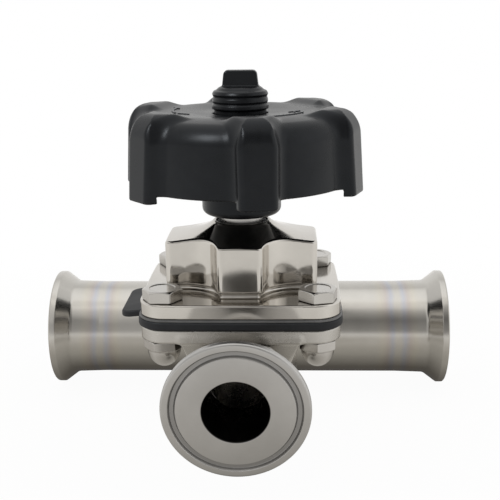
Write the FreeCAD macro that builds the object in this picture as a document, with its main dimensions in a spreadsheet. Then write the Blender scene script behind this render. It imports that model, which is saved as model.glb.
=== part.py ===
import FreeCAD, Part
import math
import os
import re
import Sketcher

# Three-way hygienic diaphragm valve. Millimetres. The origin is the middle of the run tube,
# +X runs along the tube, +Z is the direction of the spindle and -Y is the side of the outlet.
# The spindle axis stands "spindle_offset" in front of the run tube. The valve is shown closed.

SIZES = [
    ("spindle_offset", 57.5),
    ("run_radius", 20.5), ("run_wall", 1.5), ("run_half", 87.25), ("run_ferrule_depth", 21.5),
    ("ferrule_radius", 25.25), ("ferrule_land", 2.85), ("run_flare_end", 8.0),
    ("gasket_radius", 21.4), ("gasket_half_width", 1.3), ("gasket_depth", 1.2),
    ("outlet_reach", 64.4), ("outlet_height", 13.0), ("outlet_tilt", 6.0),
    ("outlet_bore", 11.3), ("outlet_tube_radius", 12.7), ("outlet_ferrule_depth", 12.7),
    ("outlet_tube_end", 22.0), ("outlet_flare_radius", 14.2), ("outlet_flare_end", 7.4),
    ("neck_radius", 13.4), ("inner_passage", 9.4), ("inner_drop", 3.0), ("rear_passage", 11.0),
    ("flange_x", 74.0), ("flange_y", 64.4), ("flange_corner", 9.0), ("flange_edge", 0.8),
    ("body_flange_low", 24.6), ("body_flange_top", 29.9),
    ("cushion_low", 33.0), ("bonnet_low", 33.9), ("bonnet_flange_top", 39.3),
    ("bolt_x", 28.3), ("bolt_y", 24.0), ("bolt_radius", 4.0), ("bolt_hole", 4.4),
    ("bolt_head_flats", 13.0), ("bolt_head_height", 4.4), ("bolt_low", 16.2),
    ("bolt_turn_right", 17.0), ("bolt_turn_left", -2.0), ("nut_turn_right", 28.0), ("nut_turn_left", 8.0),
    ("nut_hex_height", 3.8), ("nut_height", 11.0), ("nut_dome_radius", 6.3),
    ("nut_bore", 4.05), ("nut_blind", 15.9), ("nut_room", 9.6),
    ("membrane_radius", 19.0), ("weir_drop", 8.7), ("weir_half", 3.0), ("web_gap", 0.1),
    ("web_thickness", 2.5), ("web_radius", 18.95), ("bowl_y", 20.0), ("bowl_z", 16.0),
    ("diaphragm_x", 75.6), ("diaphragm_y", 65.6), ("cushion_x", 74.8), ("cushion_y", 65.0),
    ("tab_reach", 45.5), ("tab_front", -16.6), ("tab_rear", 13.0),
    ("stud_head", 4.0), ("stud_low", 22.3), ("stud_shank", 2.5), ("stud_top", 28.6),
    ("compressor_radius", 17.4), ("compressor_disc_top", 35.0), ("compressor_boss", 8.0),
    ("compressor_top", 41.6), ("key_width", 6.0), ("key_inner", 14.2), ("key_gap", 0.2),
    ("pin_radius", 1.5), ("pin_height", 37.0), ("pin_half", 7.8),
    ("cavity_radius", 18.0), ("cavity_top", 50.8), ("thrust_radius", 13.0), ("thrust_top", 57.8),
    ("ring_low", 51.8), ("ring_height", 1.2), ("ring_groove", 13.7), ("ring_inner", 10.5),
    ("washer_height", 0.8), ("washer_inner", 8.2), ("washer_outer", 12.8),
    ("block_x", 28.5), ("block_y", 24.6), ("neck_top", 63.6), ("neck_ring", 10.8),
    ("bush_outer", 9.5), ("bush_inner", 8.05), ("bush_top", 61.4), ("seal_room", 9.9),
    ("seal_wire", 0.9), ("seal_centre", 62.5),
    ("nut_collar", 12.8), ("nut_collar_low", 53.8), ("nut_collar_top", 57.0),
    ("nut_neck", 8.0), ("drive_hex_low", 68.0), ("drive_hex_top", 86.0), ("drive_hex_flats", 14.0),
    ("drive_top", 88.5), ("drive_top_radius", 6.8), ("clip_groove", 6.2), ("clip_height", 1.0),
    ("clip_outer", 9.4), ("drive_bore", 5.06),
    ("spindle_radius", 5.0), ("spindle_low", 30.6), ("spindle_step", 104.0), ("spindle_top", 109.0),
    ("spindle_end_radius", 4.0),
    ("wheel_tip", 46.0), ("wheel_tip_top", 43.6), ("wheel_panel", 41.5), ("wheel_panel_top", 40.4),
    ("wheel_skirt_low", 79.0), ("wheel_lobe_low", 76.5), ("wheel_dome", 104.9),
    ("wheel_crest", 106.0), ("wheel_lobe_width", 13.0), ("wheel_lobes", 6), ("wheel_phase", 10.0),
    ("wheel_wall", 4.0), ("wheel_roof", 99.5), ("wheel_hub", 15.0), ("wheel_hub_low", 66.4),
    ("wheel_rib", 2.4), ("wheel_rib_low", 82.0), ("wheel_bore", 10.4), ("wheel_neck_bore", 8.4),
    ("insert_radius", 11.0), ("insert_top", 85.9), ("insert_flats", 14.1),
    ("cap_low", 93.5), ("cap_skirt", 9.8), ("cap_collar", 10.1), ("cap_collar_low", 105.7),
    ("cap_collar_top", 112.4), ("cap_base_top", 113.9), ("cap_groove_depth", 0.5),
    ("cap_groove_height", 0.9), ("cap_bore", 4.1), ("cap_bore_top", 109.6),
    ("cap_hex_flats", 12.8), ("wing_base", 6.75), ("wing_tip", 6.05), ("wing_half", 2.7),
    ("wing_top", 119.8), ("wing_corner", 1.4),
    ("snap_wire", 0.5), ("snap_height", 107.0), ("snap_major", 4.1),
    ("sleeve_low", 89.4), ("sleeve_top", 98.0), ("sleeve_flats", 12.6), ("sleeve_bore", 5.06),
]

doc = FreeCAD.newDocument("DiaphragmValve")
sheet = doc.addObject("Spreadsheet::Sheet", "Sizes")
NAMES = [name for name, value in SIZES]
for row, (name, value) in enumerate(SIZES, start=1):
    sheet.set("A%d" % row, name)
    sheet.set("B%d" % row, str(value))
    sheet.setAlias("B%d" % row, name)
doc.recompute()

FINISHED = []


def bound(text):
    """Turn size names into references to the spreadsheet."""
    def swap(found):
        word = found.group(0)
        return "Sizes." + word if word in NAMES else word
    return re.sub(r"[a-z][a-z_0-9]*", swap, str(text))


def value_of(text):
    """Number that an expression made of size names stands for."""
    result = sheet.evalExpression(bound(text))
    return float(result)


def place(thing, at=("0", "0", "0"), axis=(0, 0, 1), angle="0"):
    """Put a thing where three expressions say, turned by an angle about an axis."""
    turn = FreeCAD.Rotation(FreeCAD.Vector(*axis), value_of(angle))
    thing.Placement = FreeCAD.Placement(FreeCAD.Vector(*[value_of(part) for part in at]), turn)
    for letter, text in zip("xyz", at):
        thing.setExpression("Placement.Base." + letter, bound(text))
    return thing


def primitive(kind, name, at=("0", "0", "0"), axis=(0, 0, 1), angle="0", **sizes):
    """Part primitive whose sizes are expressions."""
    thing = doc.addObject("Part::" + kind, name)
    for key, text in sizes.items():
        if key == "Polygon":
            thing.Polygon = text
        else:
            thing.setExpression(key, bound(text))
    return place(thing, at, axis, angle)


def cylinder(name, radius, low, high, x="0", y="0"):
    """Upright cylinder between two heights."""
    height = "%s - (%s)" % (high, low)
    return primitive("Cylinder", name, (x, y, low), Radius=radius, Height=height)


def hexagon(name, flats, low, high, x="0", y="0", angle="0"):
    """Upright hexagonal prism given by its width across flats."""
    height = "%s - (%s)" % (high, low)
    corner = "(%s) / 2 / cos(30)" % flats
    return primitive("Prism", name, (x, y, low), (0, 0, 1), angle,
                     Polygon=6, Circumradius=corner, Height=height)


def box(name, x_half, y_half, low, high, x="0", y="0"):
    """Upright box centred on x and y."""
    corner = ("%s - (%s)" % (x, x_half), "%s - (%s)" % (y, y_half), low)
    return primitive("Box", name, corner, Length="2 * (%s)" % x_half,
                     Width="2 * (%s)" % y_half, Height="%s - (%s)" % (high, low))


def fuse(name, parts):
    thing = doc.addObject("Part::MultiFuse", name)
    thing.Shapes = parts
    thing.Refine = True
    return thing


def common(name, parts):
    thing = doc.addObject("Part::MultiCommon", name)
    thing.Shapes = parts
    return thing


def cut(name, base, tools):
    thing = doc.addObject("Part::Cut", name)
    thing.Base = base
    thing.Tool = tools[0] if len(tools) == 1 else fuse(name + "_tools", tools)
    return thing


def finish(thing, label):
    """Give a finished sub-part the name of its file."""
    thing.Label = label
    FINISHED.append(thing)
    return thing


def to_spindle(thing):
    """Move a thing built round the Z axis to the spindle axis."""
    return place(thing, ("0", "-spindle_offset", "0"))


def origin_plane(body, role):
    return [plane for plane in body.Origin.OriginFeatures if plane.Role == role][0]


def sketch_on(body, name, role, points, offset="0"):
    """Closed polygon sketch whose corners are expressions, fully tied to the spreadsheet."""
    sketch = body.newObject("Sketcher::SketchObject", name)
    sketch.AttachmentSupport = [(origin_plane(body, role), "")]
    sketch.MapMode = "FlatFace"
    shift = FreeCAD.Vector(0, 0, value_of(offset))
    sketch.AttachmentOffset = FreeCAD.Placement(shift, FreeCAD.Rotation())
    sketch.setExpression("AttachmentOffset.Base.z", bound(offset))
    corners = [FreeCAD.Vector(value_of(x), value_of(y), 0) for x, y in points]
    count = len(corners)
    for index in range(count):
        line = Part.LineSegment(corners[index], corners[(index + 1) % count])
        sketch.addGeometry(line, False)
    for index in range(count):
        link = Sketcher.Constraint("Coincident", index, 2, (index + 1) % count, 1)
        sketch.addConstraint(link)
    for index, (x, y) in enumerate(points):
        tie_corner(sketch, index, "DistanceX", x, -2)
        tie_corner(sketch, index, "DistanceY", y, -1)
    return sketch


def tie_corner(sketch, index, kind, text, axis):
    """Tie one coordinate of a corner to an expression."""
    number = value_of(text)
    if abs(number) < 1e-9:
        sketch.addConstraint(Sketcher.Constraint("PointOnObject", index, 1, axis))
    elif number > 0:
        which = sketch.addConstraint(Sketcher.Constraint(kind, -1, 1, index, 1, number))
        sketch.setExpression("Constraints[%d]" % which, bound(text))
    else:
        which = sketch.addConstraint(Sketcher.Constraint(kind, index, 1, -1, 1, -number))
        sketch.setExpression("Constraints[%d]" % which, bound("-(%s)" % text))


def revolved(name, points, role="XZ_Plane", axis="V_Axis"):
    """Body of revolution from a profile of (radius, height) corners."""
    body = doc.addObject("PartDesign::Body", name)
    profile = sketch_on(body, name + "_profile", role, points)
    turn = body.newObject("PartDesign::Revolution", name + "_turn")
    turn.Profile = profile
    turn.ReferenceAxis = (profile, [axis])
    turn.Angle = 360
    return body


def padded(name, points, low, high):
    """Body padded upwards from a polygon."""
    body = doc.addObject("PartDesign::Body", name)
    profile = sketch_on(body, name + "_profile", "XY_Plane", points, low)
    pad = body.newObject("PartDesign::Pad", name + "_pad")
    pad.Profile = profile
    pad.setExpression("Length", bound("%s - (%s)" % (high, low)))
    return body


def rounded(body, name, radius, wanted):
    """PartDesign fillet on the edges that a test picks."""
    doc.recompute()
    base = body.Tip
    picked = ["Edge%d" % (index + 1) for index, edge in enumerate(base.Shape.Edges) if wanted(edge)]
    fillet = body.newObject("PartDesign::Fillet", name)
    fillet.Base = (base, picked)
    fillet.setExpression("Radius", bound(radius))
    return fillet


def is_upright(edge):
    """Straight edge that runs along Z."""
    first, last = edge.Vertexes[0].Point, edge.Vertexes[-1].Point
    return abs(first.x - last.x) < 1e-6 and abs(first.y - last.y) < 1e-6


def is_level_at(height):
    """Test for edges that lie wholly at one height."""
    level = value_of(height)
    return lambda edge: all(abs(vertex.Z - level) < 1e-6 for vertex in edge.Vertexes)


def flange_plate(name, x, y, low, high, softened):
    """Plate with rounded corners and, where softened, broken rims."""
    half_x, half_y = "(%s) / 2" % x, "(%s) / 2" % y
    points = [("-" + half_x, "-" + half_y), (half_x, "-" + half_y),
              (half_x, half_y), ("-" + half_x, half_y)]
    body = padded(name, points, low, high)
    rounded(body, name + "_corners", "flange_corner", is_upright)
    if softened:
        outer = is_level_at(high)
        inner = is_level_at(low)
        rounded(body, name + "_rims", "flange_edge", lambda edge: outer(edge) or inner(edge))
    return body


def bolt_holes(name, radius, low, high):
    """Four cylinders on the bolt pattern."""
    holes = []
    for index, (side_x, side_y) in enumerate([("", ""), ("-", ""), ("-", "-"), ("", "-")]):
        holes.append(cylinder("%s_%d" % (name, index), radius, low, high,
                              side_x + "bolt_x", side_y + "bolt_y"))
    return holes


def outlet_axis(thing, along="0"):
    """Lay a thing built round Z on the outlet axis, its Z pointing into the body."""
    at = ("0",
          "-spindle_offset - outlet_reach + (%s) * cos(outlet_tilt)" % along,
          "outlet_height + (%s) * sin(outlet_tilt)" % along)
    return place(thing, at, (1, 0, 0), "outlet_tilt - 90")


def build_run_tube():
    """Straight tube that carries the through flow, open towards the valve body."""
    end = "run_half - run_ferrule_depth"
    inner, outer = "run_radius - run_wall", "run_radius"
    tube = revolved("run_tube_body", [("-(%s)" % end, inner), (end, inner),
                                      (end, outer), ("-(%s)" % end, outer)], axis="H_Axis")
    return finish(cut("run_tube_opened", tube, [rear_passage("tube_opening")]), "run_tube")


def build_run_ferrule(label, side):
    """Clamp ferrule welded on one end of the run tube."""
    face, inner = "run_half", "run_radius - run_wall"
    points = [
        ("run_half - run_ferrule_depth", inner), (face, inner),
        (face, "gasket_radius - gasket_half_width"),
        ("run_half - gasket_depth", "gasket_radius - gasket_half_width * 0.5"),
        ("run_half - gasket_depth", "gasket_radius + gasket_half_width * 0.5"),
        (face, "gasket_radius + gasket_half_width"), (face, "ferrule_radius"),
        ("run_half - ferrule_land", "ferrule_radius"),
        ("run_half - run_flare_end", "run_radius"),
        ("run_half - run_ferrule_depth", "run_radius"),
    ]
    ferrule = revolved(label + "_body", points, axis="H_Axis")
    angle = "0" if side > 0 else "180"
    return finish(place(ferrule, ("0", "0", "0"), (0, 0, 1), angle), label)


def build_outlet_ferrule():
    """Clamp ferrule of the branch outlet."""
    points = [
        ("outlet_bore", "0"), ("gasket_radius - gasket_half_width", "0"),
        ("gasket_radius - gasket_half_width * 0.5", "gasket_depth"),
        ("gasket_radius + gasket_half_width * 0.5", "gasket_depth"),
        ("gasket_radius + gasket_half_width", "0"), ("ferrule_radius", "0"),
        ("ferrule_radius", "ferrule_land"), ("outlet_flare_radius", "outlet_flare_end"),
        ("outlet_tube_radius", "outlet_flare_end + 1.6"),
        ("outlet_tube_radius", "outlet_ferrule_depth"), ("outlet_bore", "outlet_ferrule_depth"),
    ]
    return finish(outlet_axis(revolved("outlet_ferrule_body", points)), "outlet_ferrule")


def build_outlet_tube():
    """Short tube between the outlet ferrule and the neck of the body."""
    low, high = "outlet_ferrule_depth", "outlet_tube_end"
    points = [("outlet_bore", low), ("outlet_tube_radius", low),
              ("outlet_tube_radius", high), ("outlet_bore", high)]
    return finish(outlet_axis(revolved("outlet_tube_body", points)), "outlet_tube")


def rear_passage(name):
    """Sloping bore from the run tube up to the rear half of the bowl."""
    tilt = math.degrees(math.atan2(16.0, 34.5))
    return primitive("Cylinder", name, ("0", "-15.0", "0"), (1, 0, 0), str(90 - tilt),
                     Radius="rear_passage", Height="38.0")


def body_core():
    """Forged core lofted through ellipses from the outlet neck to the run tube."""
    sections = []
    for index, (y, z, wide, tall) in enumerate([
            (-97.0, 15.2, 13.2, 13.2), (-86.0, 13.6, 17.6, 15.2), (-68.0, 10.0, 21.0, 16.5),
            (-43.0, 6.0, 21.0, 18.0), (-10.0, 0.0, 19.4, 19.4)]):
        ring = doc.addObject("Part::Ellipse", "core_ring_%d" % index)
        ring.MajorRadius = wide
        ring.MinorRadius = tall
        sections.append(place(ring, ("0", str(y), str(z)), (1, 0, 0), "90"))
    core = doc.addObject("Part::Loft", "core_loft")
    core.Sections = sections
    core.Solid = True
    return core


def body_shoulder():
    """Tapered block under the body flange, hollowed round the nuts."""
    wedge = doc.addObject("Part::Wedge", "shoulder_wedge")
    for key, number in [("Xmin", -27.0), ("Xmax", 27.0), ("Zmin", -31.4), ("Zmax", 31.4),
                        ("Ymin", 0.0), ("Ymax", 13.0), ("X2min", -19.5), ("X2max", 19.5),
                        ("Z2min", -22.0), ("Z2max", 22.0)]:
        setattr(wedge, key, number)
    place(wedge, ("0", "0", "body_flange_low + 0.5"), (1, 0, 0), "-90")
    rooms = bolt_holes("nut_room", "nut_room", "0", "body_flange_low")
    return to_spindle(cut("shoulder", wedge, rooms))


def build_valve_body():
    """Body with flange, weir, bowl and the two passages."""
    plate = to_spindle(flange_plate("body_flange", "flange_x", "flange_y",
                                    "body_flange_low", "body_flange_top", True))
    neck = outlet_axis(primitive("Cylinder", "body_neck", Radius="neck_radius", Height="10.0"),
                       "outlet_tube_end")
    flat = primitive("Box", "throat_flat", ("-20.0", "-spindle_offset - 43.0", "28.4"), (1, 0, 0),
                     "-22.8", Length="40.0", Width="10.5", Height="8.0")
    throat = cut("body_throat", fuse("body_branch", [body_core(), neck]), [flat])
    solid = fuse("body_solid", [plate, body_shoulder(), throat])
    run = primitive("Cylinder", "run_saddle", ("-60.0", "0", "0"), (0, 1, 0), "90",
                    Radius="run_radius", Height="120.0")
    bowl = primitive("Ellipsoid", "bowl", ("0", "0", "body_flange_top"),
                     Radius1="bowl_z", Radius2="membrane_radius", Radius3="bowl_y")
    bowl.Angle1 = -90
    bowl.Angle2 = 90
    bowl.Angle3 = 360
    weir = box("weir_wall", "membrane_radius + 1", "weir_half", "0", "body_flange_top + 1")
    halves = cut("bowl_halves", bowl, [weir])
    radius = "(membrane_radius ^ 2 + weir_drop ^ 2) / (2 * weir_drop)"
    saddle = primitive("Cylinder", "weir_saddle",
                       ("0", "30.0", "body_flange_top - weir_drop + " + radius),
                       (1, 0, 0), "90", Radius=radius, Height="60.0")
    mouth = cylinder("bowl_mouth", "membrane_radius", "0", "body_flange_top + 1")
    room = to_spindle(fuse("bowl_room", [halves, common("weir_top", [saddle, mouth])]))
    port = outlet_axis(primitive("Cylinder", "port", Radius="outlet_bore", Height="23.0"))
    inner = primitive("Cylinder", "inner_port", Radius="inner_passage", Height="58.0")
    place(inner, ("0", "-spindle_offset - outlet_reach", "outlet_height - inner_drop"),
          (1, 0, 0), "outlet_tilt - 90")
    holes = to_spindle(fuse("body_holes", bolt_holes("body_hole", "bolt_hole", "0", "40.0")))
    body = cut("valve_body_cut", solid, [run, room, port, inner, rear_passage("rear_port"), holes])
    return finish(body, "valve_body")


def membrane_sphere(name, inset):
    """Sphere that the weir, the diaphragm web and the compressor share."""
    radius = "(membrane_radius ^ 2 + weir_drop ^ 2) / (2 * weir_drop)"
    centre = "body_flange_top - weir_drop + web_gap + " + radius
    return primitive("Sphere", name, ("0", "0", centre), Radius=radius + " - (%s)" % inset)


def build_diaphragm():
    """Clamped rim of the diaphragm with its marking tab."""
    plate = flange_plate("diaphragm_plate", "diaphragm_x", "diaphragm_y",
                         "body_flange_top", "cushion_low", False)
    points = [("-(diaphragm_x / 2 - 4)", "tab_front"), ("-(diaphragm_x / 2 - 4)", "tab_rear"),
              ("-tab_reach", "tab_rear"), ("-tab_reach", "tab_front")]
    tab = padded("diaphragm_tab", points, "body_flange_top + 0.4", "body_flange_top + 2.6")
    outer = -value_of("tab_reach")
    rounded(tab, "tab_corners", "flange_corner / 2",
            lambda edge: is_upright(edge) and abs(edge.Vertexes[0].X - outer) < 1e-6)
    solid = fuse("diaphragm_solid", [plate, tab])
    hole = cylinder("diaphragm_hole", "membrane_radius", "0", "50.0")
    rim = cut("diaphragm_rim", solid, [hole] + bolt_holes("diaphragm_bolt", "bolt_hole", "0", "50.0"))
    return finish(to_spindle(rim), "diaphragm")


def build_backing():
    """Thin cushion between the diaphragm and the bonnet."""
    plate = flange_plate("cushion_plate", "cushion_x", "cushion_y",
                         "cushion_low", "bonnet_low", False)
    hole = cylinder("cushion_hole", "membrane_radius", "0", "50.0")
    rim = cut("cushion_rim", plate, [hole] + bolt_holes("cushion_bolt", "bolt_hole", "0", "50.0"))
    return finish(to_spindle(rim), "backing_cushion")


def build_web():
    """Flexing middle of the diaphragm, pressed on the weir."""
    shell = cut("web_shell", membrane_sphere("web_outside", "0"),
                [membrane_sphere("web_inside", "web_thickness")])
    disc = cylinder("web_disc", "web_radius", "0", "cushion_low")
    pocket = cylinder("web_pocket", "stud_head", "stud_low", "50.0")
    web = cut("web_cut", common("web_part", [shell, disc]), [pocket])
    return finish(to_spindle(web), "diaphragm_web")


def build_stud():
    """Moulded-in stud that hangs the diaphragm on the compressor."""
    shoulder = "stud_low + 1.2"
    points = [("0", "stud_low"), ("stud_head", "stud_low"), ("stud_head", shoulder),
              ("stud_shank", shoulder), ("stud_shank", "stud_top"), ("0", "stud_top")]
    return finish(to_spindle(revolved("stud_body", points)), "diaphragm_stud")


def build_compressor():
    """Pressure piece with a domed sole, keyed in the bonnet and pinned to the spindle."""
    dome = common("compressor_dome", [
        membrane_sphere("compressor_sphere", "web_thickness + 0.1"),
        cylinder("compressor_disc", "compressor_radius", "20.0", "compressor_disc_top")])
    boss = cylinder("compressor_boss_solid", "compressor_boss", "30.0", "compressor_top")
    socket = cylinder("compressor_socket", "spindle_radius", "spindle_low", "60.0")
    stud = cylinder("compressor_stud_hole", "stud_shank", "0", "60.0")
    head = cylinder("compressor_head_hole", "stud_head + 0.1", "0", "stud_low + 1.3")
    pin = primitive("Cylinder", "compressor_pin_hole", ("0", "20.0", "pin_height"),
                    (1, 0, 0), "90", Radius="pin_radius", Height="40.0")
    tools = [socket, stud, head, pin]
    for sign in ("", "-"):
        centre = sign + "(key_inner - key_gap + 4)"
        tools.append(box("key_slot" + ("_left" if sign else "_right"), "4",
                         "key_width / 2 + key_gap", "0", "50.0", centre))
    solid = fuse("compressor_solid", [dome, boss])
    return finish(to_spindle(cut("compressor_cut", solid, tools)), "compressor")


def build_compressor_pin():
    """Cross pin through the compressor and the spindle."""
    pin = primitive("Cylinder", "pin_solid", ("0", "pin_half - spindle_offset", "pin_height"),
                    (1, 0, 0), "90", Radius="pin_radius", Height="2 * pin_half")
    return finish(pin, "compressor_pin")


def corner_notches(name):
    """Four pockets that give the bonnet block its cross-shaped plan."""
    points = [("8.2", "26.0"), ("10.6", "20.4"), ("12.8", "16.6"), ("17.0", "13.4"),
              ("22.0", "12.6"), ("32.0", "12.4"), ("32.0", "30.0"), ("8.2", "30.0")]
    notch = padded(name, points, "bonnet_flange_top", "70.0")
    rounded(notch, name + "_soft", "2.4",
            lambda edge: is_upright(edge) and edge.Vertexes[0].Y < 21 and edge.Vertexes[0].X < 18)
    notches = [notch]
    for suffix, normal in (("_x", (1, 0, 0)), ("_y", (0, 1, 0))):
        for source in list(notches):
            mirror = doc.addObject("Part::Mirroring", source.Name + suffix)
            mirror.Source = source
            mirror.Normal = FreeCAD.Vector(*normal)
            notches.append(mirror)
    return notches


def bonnet_keys():
    """Two upright ribs in the cavity that stop the compressor from turning."""
    keys = []
    for sign in ("", "-"):
        centre = sign + "(key_inner + cavity_radius + 0.5) / 2"
        keys.append(box("bonnet_key" + ("_left" if sign else "_right"),
                        "(cavity_radius + 0.5 - key_inner) / 2", "key_width / 2",
                        "compressor_disc_top - 0.6", "cavity_top + 0.2", centre))
    return keys


def build_bonnet():
    """Bonnet with its flange, cross-shaped block, sloping shoulders and neck."""
    plate = flange_plate("bonnet_flange", "flange_x", "flange_y",
                         "bonnet_low", "bonnet_flange_top", True)
    block = box("bonnet_block", "block_x", "block_y", "bonnet_low", "70.0")
    profile = [("0", "bonnet_low"), ("36.0", "bonnet_low"), ("36.0", "56.6"), ("30.0", "57.3"),
               ("26.0", "58.2"), ("23.0", "58.8"), ("18.3", "60.1"), ("14.5", "61.8"),
               ("12.3", "63.1"), ("neck_ring", "neck_top"), ("0", "neck_top")]
    roof = revolved("bonnet_roof", profile)
    shaped = cut("bonnet_cross", common("bonnet_dome", [block, roof]), corner_notches("notch"))
    solid = fuse("bonnet_solid", [plate, shaped])
    cavity = cylinder("bonnet_cavity", "cavity_radius", "0", "cavity_top")
    tools = [
        cut("bonnet_room", cavity, bonnet_keys()),
        cylinder("thrust_room", "thrust_radius", "cavity_top - 1", "thrust_top"),
        cylinder("ring_room", "ring_groove", "ring_low", "ring_low + ring_height"),
        cylinder("bush_room", "bush_outer", "40.0", "80.0"),
        cylinder("seal_room", "seal_room", "bush_top", "80.0"),
    ]
    tools += bolt_holes("bonnet_bolt", "bolt_hole", "0", "bonnet_flange_top + 8")
    return finish(to_spindle(cut("bonnet_cut", solid, tools)), "bonnet")


def build_neck_bush():
    """Plain bearing bush in the neck of the bonnet."""
    points = [("bush_inner", "thrust_top"), ("bush_outer", "thrust_top"),
              ("bush_outer", "bush_top"), ("bush_inner", "bush_top")]
    return finish(to_spindle(revolved("neck_bush_body", points)), "neck_bush")


def build_neck_seal():
    """O-ring above the bush."""
    seal = primitive("Torus", "neck_seal_ring", ("0", "-spindle_offset", "seal_centre"),
                     Radius1="nut_neck + seal_wire + 0.05", Radius2="seal_wire")
    return finish(seal, "neck_seal")


def build_thrust_washers():
    """Two washers that carry the thrust of the drive nut."""
    washers = []
    for index, low in enumerate(["ring_low + ring_height", "nut_collar_top"]):
        points = [("washer_inner", low), ("washer_outer", low),
                  ("washer_outer", low + " + washer_height"),
                  ("washer_inner", low + " + washer_height")]
        washers.append(revolved("washer_body_%d" % index, points))
    group = doc.addObject("Part::Compound", "washer_group")
    group.Links = washers
    return finish(to_spindle(group), "thrust_washers")


def open_ring(name, inner, outer, low, high, gap):
    """Retaining ring with a gap towards +X."""
    points = [(inner, low), (outer, low), (outer, high), (inner, high)]
    slot = box(name + "_slot", outer + " / 2", gap, low + " - 1", high + " + 1", outer)
    return cut(name + "_open", revolved(name + "_ring", points), [slot])


def build_retaining_ring():
    """Internal ring that holds the drive nut in the bonnet."""
    ring = open_ring("nut_keeper", "ring_inner", "ring_groove - 0.1", "ring_low",
                     "ring_low + ring_height", "2.0")
    return finish(to_spindle(ring), "retaining_ring")


def build_drive_nut():
    """Non-rising nut that the handwheel turns and the spindle climbs in."""
    points = [
        ("drive_bore", "nut_collar_low"), ("nut_collar", "nut_collar_low"),
        ("nut_collar", "nut_collar_top"), ("nut_neck", "nut_collar_top"),
        ("nut_neck", "drive_hex_low"), ("drive_top_radius", "drive_hex_low"),
        ("drive_top_radius", "drive_hex_top"), ("clip_groove", "drive_hex_top"),
        ("clip_groove", "drive_hex_top + clip_height"),
        ("drive_top_radius", "drive_hex_top + clip_height"),
        ("drive_top_radius", "drive_top"), ("drive_bore", "drive_top"),
    ]
    turned = revolved("drive_nut_turned", points)
    hexed = cut("drive_hex_bored",
                hexagon("drive_hex", "drive_hex_flats", "drive_hex_low", "drive_hex_top"),
                [cylinder("drive_hex_bore", "drive_top_radius - 0.5", "50.0", "90.0")])
    return finish(to_spindle(fuse("drive_nut_solid", [turned, hexed])), "drive_nut")


def build_spindle():
    """Spindle with a cross hole below and a step for the cap above."""
    groove = "spindle_end_radius - snap_wire + 0.1"
    points = [("0", "spindle_low"), ("spindle_radius", "spindle_low"),
              ("spindle_radius", "spindle_step"), ("spindle_end_radius", "spindle_step"),
              ("spindle_end_radius", "snap_height - snap_wire"),
              (groove, "snap_height - snap_wire"), (groove, "snap_height + snap_wire"),
              ("spindle_end_radius", "snap_height + snap_wire"),
              ("spindle_end_radius", "spindle_top"), ("0", "spindle_top")]
    hole = primitive("Cylinder", "spindle_pin_hole", ("0", "20.0", "pin_height"),
                     (1, 0, 0), "90", Radius="pin_radius", Height="40.0")
    return finish(to_spindle(cut("spindle_cut", revolved("spindle_body", points), [hole])), "spindle")


def polar(body, name, feature):
    """PartDesign polar pattern round Z."""
    pattern = body.newObject("PartDesign::PolarPattern", name)
    pattern.Originals = [feature]
    pattern.Axis = (origin_plane(body, "Z_Axis"), [""])
    pattern.Angle = 360
    pattern.setExpression("Occurrences", bound("wheel_lobes"))
    body.Tip = pattern
    return pattern


def symmetric_pad(body, name, points, width):
    """Pad made to both sides of the XZ plane."""
    profile = sketch_on(body, name + "_profile", "XZ_Plane", points)
    pad = body.newObject("PartDesign::Pad", name)
    pad.Profile = profile
    pad.SideType = "Symmetric"
    pad.setExpression("Length", bound(width))
    return pad


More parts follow.
